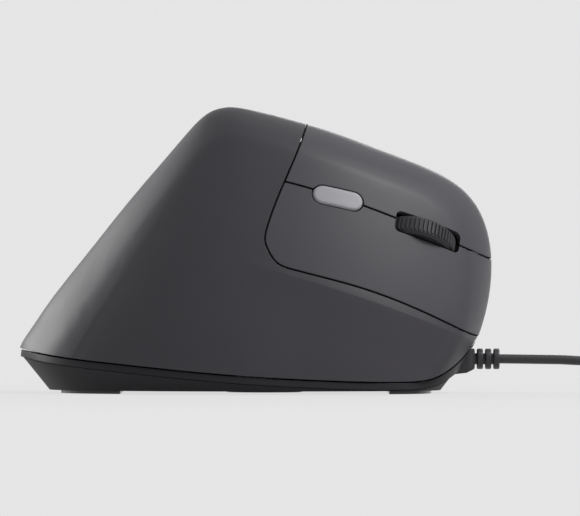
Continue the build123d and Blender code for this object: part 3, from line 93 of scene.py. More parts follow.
# Stage: lamps with their place, size and power, then the floor and where the camera looks
LAMP_AIM = (0, 0, 0.03)
LAMPS = (
    ("main_lamp", (0.55, -0.22, 0.8), (0.4, 0.4), "main_power"),
    ("rear_lamp", (-0.75, 0.5, 0.4), (0.5, 0.15), "rear_power"),
    ("far_lamp", (0.1, 0.9, 0.2), (0.4, 0.3), "far_power"),
)
FLOOR_RADIUS = 3.0
FLOOR_SIDES = 96
FLOOR_DROP = 0.00005
EVEN_FROM = 0.08
EVEN_TO = 0.32
EVEN_SHARE = 0.86
CAMERA_AIM = (0.007697, 0.0, 0.034268)


# Sizes and colours that a user would change


def colour(name, description, default):
    """Colour property with no alpha."""
    return FloatVectorProperty(name=name, description=description, default=default, size=3, min=0.0, max=1.0,
                               subtype="COLOR")


def length(name, description, default):
    """Length property in metres."""
    return FloatProperty(name=name, description=description, default=default, min=0.0, precision=5, unit="LENGTH",
                         subtype="DISTANCE")


class MouseShellSettings(bpy.types.PropertyGroup):
    """Finish of the moulded shells, buttons and base."""

    shell_colour: colour("Shell", "Colour of the two shells", (0.063, 0.060, 0.069))
    panel_colour: colour("Finger buttons", "Colour of the two finger buttons", (0.078, 0.075, 0.086))
    base_colour: colour("Base", "Colour of the base cover", (0.018, 0.018, 0.021))
    trim_colour: colour("Trim", "Colour of the strip over the base", (0.030, 0.029, 0.033))
    glide_colour: colour("Glides", "Colour of the glides under the base", (0.045, 0.045, 0.048))
    grain_size: length("Grain", "Width of one grain of the moulded texture", 0.00022)
    grain_depth: length("Grain depth", "Depth of the moulded texture", 0.000006)
    edge_radius: length("Edge radius", "Rounding of the moulded edges", 0.00022)
    crease_height: length("Crease height", "Height of the crease at the middle of the mouse", 0.03205)
    crease_fall: FloatProperty(name="Crease fall", description="How fast the crease falls towards the cord",
                               default=0.2602, min=0.0)
    crease_rise: length("Crease rise", "How far the crease stands proud", 0.00025)


class MouseKeySettings(bpy.types.PropertyGroup):
    """Finish of the wheel, the resolution key and the thumb keys."""

    key_colour: colour("Resolution key", "Colour of the resolution key", (0.42, 0.42, 0.45))
    thumb_colour: colour("Thumb keys", "Colour of the thumb keys", (0.035, 0.035, 0.039))
    rubber_colour: colour("Wheel", "Colour of the wheel's tyre", (0.030, 0.030, 0.034))


class MouseCordSettings(bpy.types.PropertyGroup):
    """Sizes of the cord and of its coil."""

    jacket_colour: colour("Jacket", "Colour of the cord's jacket", (0.030, 0.030, 0.034))
    diameter: length("Diameter", "Outside width of the cord", 0.0024)
    exit_height: length("Exit height", "Height of the cord where it leaves the mouse", 0.0086)
    coil_pitch: length("Coil pitch", "Distance between neighbouring turns", 0.0029)
    coil_inner: length("Coil inside", "Radius of the innermost turn", 0.0088)
    half_turns: IntProperty(name="Half turns", description="Half turns in one layer of the coil", default=7, min=1)
    layers: IntProperty(name="Layers", description="Layers of the coil", default=4, min=2)
    tail_spread: length("Tail spread", "How far the tail leaves the coil", 0.0095)


class MouseStageSettings(bpy.types.PropertyGroup):
    """Floor, lamps and camera."""

    floor_colour: colour("Background", "Colour of the floor and backdrop", (0.787, 0.787, 0.787))
    world_strength: FloatProperty(name="Fill", description="Strength of the even light from all round", default=0.055,
                                  min=0.0)
    main_power: FloatProperty(name="Main lamp", description="Power of the main lamp", default=6.4, min=0.0,
                              unit="POWER")
    rear_power: FloatProperty(name="Rear lamp", description="Power of the lamp behind the mouse", default=4.2, min=0.0,
                              unit="POWER")
    far_power: FloatProperty(name="Far lamp", description="Power of the lamp on the thumb side", default=1.6, min=0.0,
                             unit="POWER")
    camera_distance: length("Camera distance", "Distance from the camera to the mouse", 2.2)
    picture_width: length("Picture width", "Width of what the camera sees at the mouse", 0.147772)


# Shader nodes


def add_node(tree, kind, place, **values):
    """Shader node at a place, with its inputs or settings given by name."""
    node = tree.nodes.new("ShaderNode" + kind)
    node.location = place
    for name, value in values.items():
        socket = node.inputs.get(name.replace("_", " ").title())
        if socket is None:
            setattr(node, name, value)
        else:
            socket.default_value = value
    return node


def new_group(name, inputs, outputs):
    """Empty shader node group with float or colour sockets."""
    tree = bpy.data.node_groups.new(name, "ShaderNodeTree")
    for label, kind, default in inputs:
        socket = tree.interface.new_socket(name=label, in_out="INPUT", socket_type="NodeSocket" + kind)
        socket.default_value = default
    for label, kind in outputs:
        tree.interface.new_socket(name=label, in_out="OUTPUT", socket_type="NodeSocket" + kind)
    entry = tree.nodes.new("NodeGroupInput")
    entry.location = (-900, 0)
    leave = tree.nodes.new("NodeGroupOutput")
    leave.location = (600, 0)
    return tree, entry, leave


def moulded_grain():
    """Spark-eroded texture of a moulded surface: height and a mask of its grains."""
    tree, entry, leave = new_group("Moulded grain", [("Grain", "Float", 0.0003)],
                                   [("Height", "Float"), ("Mask", "Float")])
    link = tree.links.new
    place = add_node(tree, "TexCoord", (-900, -300))
    density = add_node(tree, "Math", (-700, 0), operation="DIVIDE")
    density.inputs[0].default_value = 1.0
    link(entry.outputs["Grain"], density.inputs[1])
    fine = add_node(tree, "TexNoise", (-450, 100), detail=2.0, roughness=0.6)
    coarse_density = add_node(tree, "Math", (-450, -200), operation="MULTIPLY")
    coarse_density.inputs[1].default_value = 0.37
    coarse = add_node(tree, "TexNoise", (-250, -200), detail=1.0)
    link(place.outputs["Object"], fine.inputs["Vector"])
    link(place.outputs["Object"], coarse.inputs["Vector"])
    link(density.outputs[0], fine.inputs["Scale"])
    link(density.outputs[0], coarse_density.inputs[0])
    link(coarse_density.outputs[0], coarse.inputs["Scale"])
    both = add_node(tree, "Math", (0, 100), operation="ADD")
    link(fine.outputs[0], both.inputs[0])
    link(coarse.outputs[0], both.inputs[1])
    half = add_node(tree, "Math", (200, 100), operation="MULTIPLY")
    half.inputs[1].default_value = 0.5
    link(both.outputs[0], half.inputs[0])
    link(half.outputs[0], leave.inputs["Height"])
    link(coarse.outputs[0], leave.inputs["Mask"])
    return tree


def handled_surface():
    """Slow change of colour and roughness where hands polish a surface."""
    tree, entry, leave = new_group(
        "Handled surface",
        [("Colour", "Color", (0.1, 0.1, 0.1, 1)), ("Roughness", "Float", 0.5), ("Amount", "Float", 0.1)],
        [("Colour", "Color"), ("Roughness", "Float")])
    link = tree.links.new
    place = add_node(tree, "TexCoord", (-900, -300))
    slow = add_node(tree, "TexNoise", (-650, -200), scale=38.0, detail=3.0, roughness=0.55)
    speck = add_node(tree, "TexNoise", (-650, -450), scale=1300.0, detail=1.0)
    link(place.outputs["Object"], slow.inputs["Vector"])
    link(place.outputs["Object"], speck.inputs["Vector"])
    mixed = add_node(tree, "Math", (-400, -300), operation="MULTIPLY_ADD")
    mixed.inputs[1].default_value = 0.35
    link(speck.outputs[0], mixed.inputs[0])
    link(slow.outputs[0], mixed.inputs[2])
    swing = add_node(tree, "Math", (-200, -300), operation="SUBTRACT")
    swing.inputs[1].default_value = 0.675
    link(mixed.outputs[0], swing.inputs[0])
    amount = add_node(tree, "Math", (0, -300), operation="MULTIPLY")
    link(swing.outputs[0], amount.inputs[0])
    link(entry.outputs["Amount"], amount.inputs[1])
    light = add_node(tree, "Math", (200, 0), operation="ADD")
    light.inputs[1].default_value = 1.0
    link(amount.outputs[0], light.inputs[0])
    tint = add_node(tree, "VectorMath", (400, 100), operation="SCALE")
    link(entry.outputs["Colour"], tint.inputs[0])
    link(light.outputs[0], tint.inputs["Scale"])
    rough = add_node(tree, "Math", (400, -150), operation="SUBTRACT", use_clamp=True)
    link(entry.outputs["Roughness"], rough.inputs[0])
    link(amount.outputs[0], rough.inputs[1])
    link(tint.outputs[0], leave.inputs["Colour"])
    link(rough.outputs[0], leave.inputs["Roughness"])
    return tree


def edge_highlight():
    """Rounded normal of the moulded edges, and a mask of them from how far that normal leans away from the flat one;
    the mask paints a highlight along the edges.
    """
    tree, entry, leave = new_group("Edge rub", [("Radius", "Float", 0.0003), ("Strength", "Float", 4.0)],
                                   [("Normal", "Vector"), ("Mask", "Float")])
    link = tree.links.new
    rounded = add_node(tree, "Bevel", (-600, 100), samples=6)
    surface = add_node(tree, "NewGeometry", (-600, -150))
    link(entry.outputs["Radius"], rounded.inputs["Radius"])
    lean = add_node(tree, "VectorMath", (-350, 0), operation="DOT_PRODUCT")
    link(rounded.outputs[0], lean.inputs[0])
    link(surface.outputs["Normal"], lean.inputs[1])
    away = add_node(tree, "Math", (-150, 0), operation="SUBTRACT", use_clamp=True)
    away.inputs[0].default_value = 1.0
    link(lean.outputs["Value"], away.inputs[1])
    mask = add_node(tree, "Math", (50, 0), operation="MULTIPLY", use_clamp=True)
    link(away.outputs[0], mask.inputs[0])
    link(entry.outputs["Strength"], mask.inputs[1])
    link(rounded.outputs[0], leave.inputs["Normal"])
    link(mask.outputs[0], leave.inputs["Mask"])
    return tree


def crease_ridge():
    """Height of the ridge under the finger buttons, which a bump makes crisper."""
    tree, entry, leave = new_group(
        "Crease ridge",
        [("Height", "Float", 0.0323), ("Fall", "Float", 0.257), ("Bend", "Float", 1.6), ("Strip", "Float", 0.0021),
         ("Reach", "Float", 0.012), ("Rise", "Float", 0.00025)],
        [("Height", "Float")])
    link = tree.links.new
    place = add_node(tree, "TexCoord", (-1100, -300))
    parts = add_node(tree, "SeparateXYZ", (-900, -300))
    link(place.outputs["Object"], parts.inputs[0])
    steps = (("Bend", "X", "MULTIPLY"), (0, "Fall", "ADD"), (1, "X", "MULTIPLY"), (2, "Z", "ADD"),
             ("Height", 3, "SUBTRACT"))
    made = []
    for number, (first, second, operation) in enumerate(steps):
        node = add_node(tree, "Math", (-700 + 150 * number, -150), operation=operation)
        for socket, source in enumerate((first, second)):
            if source in ("X", "Z"):
                link(parts.outputs[source], node.inputs[socket])
            elif isinstance(source, int):
                link(made[source].outputs[0], node.inputs[socket])
            else:
                link(entry.outputs[source], node.inputs[socket])
        made.append(node)
    below = made[-1].outputs[0]
    above = add_node(tree, "Math", (0, 300), operation="MULTIPLY")
    above.inputs[1].default_value = -1.0
    link(entry.outputs["Strip"], above.inputs[0])
    rise = add_node(tree, "MapRange", (200, 200))
    link(below, rise.inputs["Value"])
    link(above.outputs[0], rise.inputs["From Min"])
    rise.inputs["From Max"].default_value = 0.0
    fall = add_node(tree, "MapRange", (200, -100))
    link(below, fall.inputs["Value"])
    link(entry.outputs["Reach"], fall.inputs["From Max"])
    fall.inputs["To Min"].default_value = 1.0
    fall.inputs["To Max"].default_value = 0.0
    grow = add_node(tree, "MapRange", (200, -400), interpolation_type="SMOOTHSTEP")
    link(parts.outputs["X"], grow.inputs["Value"])
    grow.inputs["From Min"].default_value = -0.008
    grow.inputs["From Max"].default_value = 0.008
    side = add_node(tree, "Math", (200, -650), operation="LESS_THAN")
    link(parts.outputs["Y"], side.inputs[0])
    side.inputs[1].default_value = 0.0
    found = rise.outputs[0]
    for number, factor in enumerate((fall.outputs[0], grow.outputs[0], side.outputs[0], entry.outputs["Rise"])):
        node = add_node(tree, "Math", (400 + 150 * number, 0), operation="MULTIPLY")
        link(found, node.inputs[0])
        link(factor, node.inputs[1])
        found = node.outputs[0]
    leave.location = (1100, 0)
    link(found, leave.inputs["Height"])
    return tree


GROUPS = {}


def group_node(tree, name, place, **values):
    """A shared group in a material, with its inputs set."""
    makers = {"Moulded grain": moulded_grain, "Handled surface": handled_surface, "Edge rub": edge_highlight,
              "Crease ridge": crease_ridge}
    if name not in GROUPS:
        GROUPS[name] = makers[name]()
    node = tree.nodes.new("ShaderNodeGroup")
    node.node_tree = GROUPS[name]
    node.location = place
    for label, value in values.items():
        node.inputs[label].default_value = value
    return node


def opaque(rgb):
    """Colour with full alpha."""
    return (rgb[0], rgb[1], rgb[2], 1.0)


def new_material(name):
    """Material with a plain shader, and its tree and shader."""
    material = bpy.data.materials.new(name)
    material.use_nodes = True
    shader = material.node_tree.nodes["Principled BSDF"]
    shader.location = (300, 0)
    return material, material.node_tree, shader


def moulded(name, rgb, roughness=0.45, grain=0.00022, depth=0.000006, radius=0.0, wear=0.12, specular=0.5,
            highlight_share=0.5, sheen=0.0, crease=None):
    """Moulded plastic or rubber: grain, polish from handling and softly rounded edges, with a painted highlight along
    them.
    """
    material, tree, shader = new_material(name)
    link = tree.links.new
    handled = group_node(tree, "Handled surface", (-500, 200), Colour=opaque(rgb), Roughness=roughness, Amount=wear)
    texture = group_node(tree, "Moulded grain", (-500, -200), Grain=grain)
    bump = add_node(tree, "Bump", (50, -250), strength=1.0, distance=depth)
    link(texture.outputs["Height"], bump.inputs["Height"])
    link(handled.outputs["Roughness"], shader.inputs["Roughness"])
    shader.inputs["Specular IOR Level"].default_value = specular
    if sheen:
        shader.inputs["Sheen Weight"].default_value = sheen
        shader.inputs["Sheen Roughness"].default_value = 0.4
    if radius:
        edge = group_node(tree, "Edge rub", (-500, -450), Radius=radius, Strength=2.2)
        normal = edge.outputs["Normal"]
        if crease:
            ridge = group_node(tree, "Crease ridge", (-500, -700), **crease)
            crisp = add_node(tree, "Bump", (-200, -500), strength=1.0, distance=1.0)
            link(ridge.outputs["Height"], crisp.inputs["Height"])
            link(normal, crisp.inputs["Normal"])
            normal = crisp.outputs[0]
        link(normal, bump.inputs["Normal"])
        # Lighter colour at the edges: a painted highlight along the rounded edges.
        highlight = add_node(tree, "MixRGB", (-150, 250), blend_type="MIX")
        highlight.inputs[2].default_value = opaque([min(1.0, part * (1 + highlight_share) + 0.01) for part in rgb])
        link(edge.outputs["Mask"], highlight.inputs[0])
        link(handled.outputs["Colour"], highlight.inputs[1])
        link(highlight.outputs[0], shader.inputs["Base Color"])
    else:
        link(handled.outputs["Colour"], shader.inputs["Base Color"])
    link(bump.outputs[0], shader.inputs["Normal"])
    return material


def metal(name, rgb, roughness, stretch=(1.0, 1.0, 60.0)):
    """Machined or plated metal with fine drawn lines."""
    material, tree, shader = new_material(name)
    link = tree.links.new
    place = add_node(tree, "TexCoord", (-900, 0))
    turn = add_node(tree, "Mapping", (-700, 0))
    turn.inputs["Scale"].default_value = stretch
    link(place.outputs["Object"], turn.inputs["Vector"])
    lines = add_node(tree, "TexNoise", (-450, 0), scale=900.0, detail=3.0)
    link(turn.outputs[0], lines.inputs["Vector"])
    rough = add_node(tree, "MapRange", (-150, 0))
    rough.inputs["To Min"].default_value = roughness * 0.75
    rough.inputs["To Max"].default_value = roughness * 1.35
    link(lines.outputs[0], rough.inputs["Value"])
    link(rough.outputs[0], shader.inputs["Roughness"])
    bump = add_node(tree, "Bump", (50, -250), strength=0.3, distance=0.000004)
    link(lines.outputs[0], bump.inputs["Height"])
    link(bump.outputs[0], shader.inputs["Normal"])
    handled = group_node(tree, "Handled surface", (-150, 300), Colour=opaque(rgb), Roughness=roughness, Amount=0.1)
    link(handled.outputs["Colour"], shader.inputs["Base Color"])
    shader.inputs["Metallic"].default_value = 1.0
    return material


def solder_mask(name, rgb, copper):
    """Circuit board: lacquer over tracks that stand a little proud."""
    material, tree, shader = new_material(name)
    link = tree.links.new
    place = add_node(tree, "TexCoord", (-1000, 0))
    blocks = add_node(tree, "TexVoronoi", (-750, 100), feature="F1", distance="MANHATTAN", scale=420.0)
    link(place.outputs["Object"], blocks.inputs["Vector"])
    lines = add_node(tree, "TexWave", (-750, -200), wave_type="BANDS", bands_direction="DIAGONAL", scale=520.0,
                     distortion=0.0)
    link(place.outputs["Object"], lines.inputs["Vector"])
    step = add_node(tree, "Math", (-500, 100), operation="GREATER_THAN")
    step.inputs[1].default_value = 0.42
    link(blocks.outputs["Distance"], step.inputs[0])
    track = add_node(tree, "Math", (-500, -200), operation="GREATER_THAN")
    track.inputs[1].default_value = 0.6
    link(lines.outputs["Fac"], track.inputs[0])
    mask = add_node(tree, "Math", (-300, 0), operation="MULTIPLY")
    link(step.outputs[0], mask.inputs[0])
    link(track.outputs[0], mask.inputs[1])
    mix = add_node(tree, "MixRGB", (0, 100), blend_type="MIX")
    mix.inputs[1].default_value = opaque(rgb)
    mix.inputs[2].default_value = opaque(copper)
    link(mask.outputs[0], mix.inputs[0])
    link(mix.outputs[0], shader.inputs["Base Color"])
    bump = add_node(tree, "Bump", (50, -250), strength=0.6, distance=0.00003)
    link(mask.outputs[0], bump.inputs["Height"])
    link(bump.outputs[0], shader.inputs["Normal"])
    shader.inputs["Roughness"].default_value = 0.28
    return material


def clear_plastic(name):
    """Clear moulded lens with a little haze."""
    material, tree, shader = new_material(name)
    haze = group_node(tree, "Handled surface", (-300, 0), Colour=(0.93, 0.94, 0.96, 1.0), Roughness=0.12, Amount=0.1)
    tree.links.new(haze.outputs["Colour"], shader.inputs["Base Color"])
    tree.links.new(haze.outputs["Roughness"], shader.inputs["Roughness"])
    shader.inputs["Transmission Weight"].default_value = 0.9
    shader.inputs["IOR"].default_value = 1.49
    return material


def finish_node(material, *names):
    """Gives CAD nodes a better material."""
    for name in names:
        node = NODES[name]
        node.data.materials.clear()
        node.data.materials.append(material)


# New pieces


def new_piece(name, mesh, body, material):
    """Piece at the origin, its place in its mesh, that rides on a body."""
    piece = bpy.data.objects.new(name, mesh)
    bpy.context.scene.collection.objects.link(piece)
    piece.data.materials.append(material)
    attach(piece, body)
    return piece


def mesh_from(name, bm):
    """Mesh of a bmesh, its normals outward."""
    bmesh.ops.remove_doubles(bm, verts=bm.verts, dist=MERGE_NEW)
    bmesh.ops.recalc_face_normals(bm, faces=bm.faces)
    mesh = bpy.data.meshes.new(name)
    bm.to_mesh(mesh)
    bm.free()
    return mesh


def rounded_block(bm, low, high, radius):
    """Box between two corners with its edges cut by a small bevel."""
    low, high = Vector(low), Vector(high)
    made = bmesh.ops.create_cube(bm, size=1.0)
    verts = made["verts"]
    bmesh.ops.scale(bm, vec=high - low, verts=verts)
    bmesh.ops.translate(bm, vec=(low + high) / 2, verts=verts)
    edges = list({edge for vert in verts for edge in vert.link_edges})
    bmesh.ops.bevel(bm, geom=edges, offset=radius, offset_type="OFFSET", segments=1, profile=0.5,
                    affect="EDGES", material=-1)


def solids_of(name):
    """Points of each separate solid in a CAD node, as arrays."""
    bm = bmesh.new()
    bm.from_mesh(NODES[name].data)
    bmesh.ops.remove_doubles(bm, verts=bm.verts, dist=MERGE_CAD)
    found = []
    for first in bm.verts:
        if first.tag:
            continue
        first.tag = True
        waiting, group = [first], []
        while waiting:
            vert = waiting.pop()
            group.append(tuple(vert.co))
            for edge in vert.link_edges:
                other = edge.other_vert(vert)
                if not other.tag:
                    other.tag = True
                    waiting.append(other)
        found.append(np.array(group))
    bm.free()
    return found


def cut_out(mesh, cutters):
    """Mesh with other meshes cut out of it."""
    scene = bpy.context.scene
    body = bpy.data.objects.new("body", mesh)
    scene.collection.objects.link(body)
    used = [body]
    for cutter in cutters:
        tool = bpy.data.objects.new("cutter", cutter)
        scene.collection.objects.link(tool)
        step = body.modifiers.new("cut", "BOOLEAN")
        step.operation = "DIFFERENCE"
        step.solver = "EXACT"
        step.object = tool
        used.append(tool)
    bpy.context.view_layer.update()
    result = bpy.data.meshes.new_from_object(body.evaluated_get(bpy.context.evaluated_depsgraph_get()))
    for thing in used:
        data = thing.data
        bpy.data.objects.remove(thing)
        bpy.data.meshes.remove(data)
    return result


def seam_shade_lip(label, node, neighbours, body, material):
    """Near-black sheet on the walls of a piece that face its neighbours across a seam: painted shade that makes the
    seam read as a dark gap, and blocks the view through it.
    """
    bm = bmesh.new()
    for name in neighbours:
        bm.from_mesh(NODES[name].data)
    walls = BVHTree.FromBMesh(bm)
    bm.free()
    bm = bmesh.new()
    bm.from_mesh(NODES[node].data)
    bmesh.ops.remove_doubles(bm, verts=bm.verts, dist=MERGE_CAD)
    bm.normal_update()
    away = [face for face in bm.faces if abs(face.normal.y) > LIP_LEAN
            or walls.ray_cast(face.calc_center_median() + face.normal * MERGE_CAD, face.normal,
                              LIP_SEARCH)[0] is None]
    bmesh.ops.delete(bm, geom=away, context="FACES")
    mesh = bpy.data.meshes.new(label)
    bm.to_mesh(mesh)
    bm.free()
    piece = new_piece(label, mesh, body, material)
    wall = piece.modifiers.new("lip", "SOLIDIFY")
    wall.thickness = LIP_DEPTH
    wall.offset = 1.0


def screw_mesh(head_radius, head_height, shank_radius, length, pitch=0.0006):
    """Screw with a cross recess, its head's top at zero and its tip up the z axis."""
    soft = head_height * HEAD_SOFT_SHARE
    root = shank_radius * THREAD_ROOT_SHARE
    outline = [(0.0, 0.0), (head_radius - soft, 0.0), (head_radius - soft * 0.3, soft * 0.3), (head_radius, soft),
               (head_radius, head_height), (root, head_height)]
    turns = int((length - head_height) / pitch) - 1
    for turn in range(turns):
        low = head_height + (turn + 0.5) * pitch
        outline += [(root, low), (shank_radius, low + pitch / 2)]
    outline += [(root, length - pitch), (0.0, length)]
    bm = bmesh.new()
    verts = [bm.verts.new((radius, 0.0, height)) for radius, height in outline]
    edges = [bm.edges.new(pair) for pair in zip(verts, verts[1:])]
    bmesh.ops.spin(bm, geom=verts + edges, cent=(0, 0, 0), axis=(0, 0, 1), dvec=(0, 0, 0), angle=math.tau,
                   steps=SCREW_SIDES, use_merge=True)
    body = mesh_from("screw", bm)
    cutters = []
    for turned in (0.0, math.pi / 2):
        bm = bmesh.new()
        bmesh.ops.create_cone(bm, cap_ends=True, segments=4, radius1=head_radius * RECESS_TOP_SHARE,
                              radius2=head_radius * RECESS_FOOT_SHARE, depth=head_height * RECESS_DEPTH_SHARE)
        bmesh.ops.rotate(bm, verts=bm.verts, cent=(0, 0, 0), matrix=Matrix.Rotation(math.pi / 4, 3, "Z"))
        bmesh.ops.scale(bm, verts=bm.verts, vec=(1.0, RECESS_WIDTH_SHARE, 1.0))
        bmesh.ops.rotate(bm, verts=bm.verts, cent=(0, 0, 0), matrix=Matrix.Rotation(turned, 3, "Z"))
        cutters.append(mesh_from("recess", bm))
    return cut_out(body, cutters)


def screws_for(name, label, material):
    """Screws with recesses in place of the plain ones of a CAD node."""
    bm = bmesh.new()
    kinds = {}
    for points in solids_of(name):
        middle = points.mean(axis=0)
        _, ways = np.linalg.eigh(np.cov((points - middle).T))
        along = ways[:, 2]
        heights = (points - middle) @ along
        radii = np.linalg.norm(points - middle - np.outer(heights, along), axis=1)
        ends = heights.min(), heights.max()
        wide = [radii[abs(heights - end) < 1e-5].max() for end in ends]
        if wide[1] > wide[0]:
            along, heights = -along, -heights
        top, tip = heights.min(), heights.max()
        head_radius = radii.max()
        centre = (points.max(axis=0) + points.min(axis=0)) / 2
        centre = middle + along * top + (centre - middle) - along * ((centre - middle) @ along)
        head = heights[radii > head_radius * 0.98].max() - top
        shank = radii[heights > top + head * 1.5].max()
        size = tuple(round(float(value), 6) for value in (head_radius, head, shank, tip - top))
        if size not in kinds:
            kinds[size] = screw_mesh(*size)
        before = set(bm.verts)
        bm.from_mesh(kinds[size])
        fresh = [vert for vert in bm.verts if vert not in before]
        turn = Vector((0, 0, 1)).rotation_difference(Vector(along)).to_matrix().to_4x4()
        bmesh.ops.transform(bm, matrix=Matrix.Translation(Vector(centre)) @ turn, verts=fresh)
    mesh = bpy.data.meshes.new(label)
    bm.to_mesh(mesh)
    bm.free()
    for part in kinds.values():
        bpy.data.meshes.remove(part)
    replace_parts(new_piece(label, mesh, "mouse", material), name)


# Operators


class MOUSE_OT_dress_shells(bpy.types.Operator):
    """Finish the two shells and the two finger buttons"""

    bl_idname = "mouse.dress_shells"
    bl_label = "Shells and finger buttons"

    def execute(self, context):
        values = context.scene.mouse_shell
        crease = {"Height": values.crease_height, "Fall": values.crease_fall, "Rise": values.crease_rise}
        shell = moulded("shell_plastic", values.shell_colour, 0.46, values.grain_size, values.grain_depth,
                        values.edge_radius, specular=0.25, crease=crease)
        panel = moulded("button_plastic", values.panel_colour, 0.46, values.grain_size, values.grain_depth,
                        values.edge_radius, specular=0.3)
        finish_node(shell, "main_shell", "thumb_shell")
        finish_node(panel, "primary_button", "secondary_button")
        # Near-black colour: painted shade standing in for the dark inside of the seams.
        lip = moulded("seam_lip", (0.004, 0.004, 0.005), 0.7, values.grain_size, values.grain_depth, specular=0.1)
        seam_shade_lip("primary_button_lip", "primary_button", ("main_shell", "thumb_shell", "secondary_button"), "primary",
                lip)
        seam_shade_lip("secondary_button_lip", "secondary_button", ("main_shell", "thumb_shell"), "secondary", lip)
        return {"FINISHED"}


class MOUSE_OT_dress_base(bpy.types.Operator):
    """Finish the base cover, the strip over it, the glides and the base screws"""

    bl_idname = "mouse.dress_base"
    bl_label = "Base"

    def execute(self, context):
        values = context.scene.mouse_shell
        finish_node(moulded("base_plastic", values.base_colour, 0.55, values.grain_size * 1.6, values.grain_depth,
                            values.edge_radius, specular=0.2), "base_cover")
        finish_node(moulded("trim_plastic", values.trim_colour, 0.5, values.grain_size, values.grain_depth * 0.5,
                            values.edge_radius, specular=0.15, highlight_share=0.2), "trim_strip")
        finish_node(moulded("glide_sheet", values.glide_colour, 0.22, values.grain_size * 3, values.grain_depth,
                            values.edge_radius, wear=0.3), "rear_foot", "front_foot", "sensor_foot")
        screws_for("base_screws", "base_screw_set", metal("zinc_screw", (0.5, 0.5, 0.49), 0.35, (1.0, 1.0, 1.0)))
        return {"FINISHED"}


class MOUSE_OT_dress_keys(bpy.types.Operator):
    """Finish the wheel, the resolution key and the thumb keys"""

    bl_idname = "mouse.dress_keys"
    bl_label = "Wheel and keys"

    def execute(self, context):
        values = context.scene.mouse_key
        finish_node(moulded("wheel_rubber", values.rubber_colour, 0.55, 0.00018, 0.000008, 0.00008, wear=0.15,
                            specular=0.4), "wheel_tyre")
        finish_node(moulded("resolution_key_lacquer", values.key_colour, 0.4, 0.0002, 0.000003, 0.0009, wear=0.05,
                            highlight_share=0.1), "dpi_button")
        finish_node(moulded("thumb_key_plastic", values.thumb_colour, 0.3, 0.0003, 0.000004, 0.00025),
                    "back_button", "forward_button")
        return {"FINISHED"}


class MOUSE_OT_dress_insides(bpy.types.Operator):
    """Finish the boards, switches, pins, chassis and other pieces inside"""

    bl_idname = "mouse.dress_insides"
    bl_label = "Inside pieces"

    def add_legs(self):
        """Solder legs along the four sides of the controller."""
        low, high = (Vector(corner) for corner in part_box("controller_chip"))
        middle = (low + high) / 2
        half = (high.x - low.x) / 2
        bm = bmesh.new()
        for number in range(LEG_COUNT):
            place = (number - (LEG_COUNT - 1) / 2) * LEG_PITCH
            rounded_block(bm, (half - SMALL_EDGE, place - LEG_WIDTH / 2, 0.0),
                          (half + LEG_REACH, place + LEG_WIDTH / 2, LEG_HEIGHT), SMALL_EDGE)
        legs = mesh_from("leg_row", bm)
        bm = bmesh.new()
        for quarter in range(4):
            before = set(bm.verts)
            bm.from_mesh(legs)
            fresh = [vert for vert in bm.verts if vert not in before]
            turn = Matrix.Rotation(quarter * math.pi / 2, 4, "Z")
            bmesh.ops.transform(bm, matrix=Matrix.Translation((middle.x, middle.y, low.z)) @ turn, verts=fresh)
        bpy.data.meshes.remove(legs)
        new_piece("controller_legs", mesh_from("controller_legs", bm), "mouse",
                  metal("tinned_leg", (0.62, 0.61, 0.58), 0.3))

    def execute(self, context):
        plastic = moulded("inner_plastic", (0.028, 0.028, 0.03), 0.5, 0.0006, 0.00001)
        finish_node(plastic, "chassis", "wheel_cradle", "wheel_encoder", "wheel_hub", "wheel_axle", "dpi_guide")
        switch = moulded("switch_plastic", (0.02, 0.02, 0.022), 0.4, 0.0004, 0.000005, wear=0.2)
        finish_node(switch, "primary_switch", "secondary_switch", "wheel_switch", "dpi_switch", "back_switch",
                    "forward_switch")
        knob = moulded("knob_plastic", (0.62, 0.6, 0.55), 0.35, 0.0003, 0.000003, wear=0.08)
        finish_node(knob, "primary_knob", "secondary_knob", "wheel_knob", "dpi_knob", "back_knob", "forward_knob",
                    "lead_socket")
        finish_node(metal("pin_steel", (0.56, 0.56, 0.57), 0.28), "cradle_pin", "button_hinge_pin")
        steel = metal("small_screw_steel", (0.5, 0.5, 0.5), 0.34)
        screws_for("board_screws", "board_screw_set", steel)
        screws_for("thumb_screws", "thumb_screw_set", steel)
        board = solder_mask("board_lacquer", (0.012, 0.11, 0.045), (0.03, 0.19, 0.08))
        finish_node(board, "finger_board", "main_board", "thumb_board")
        finish_node(moulded("chip_case", (0.014, 0.014, 0.015), 0.42, 0.0004, 0.000006, wear=0.3),
                    "sensor_chip", "controller_chip")
        self.add_legs()
        finish_node(clear_plastic("lens_plastic"), "sensor_lens")
        return {"FINISHED"}


# The cord


def ease(share):
    """0 below 0, 1 above 1, and smooth between."""
    share = min(1.0, max(0.0, share))
    return share ** 3 * (share * (6 * share - 15) + 10)


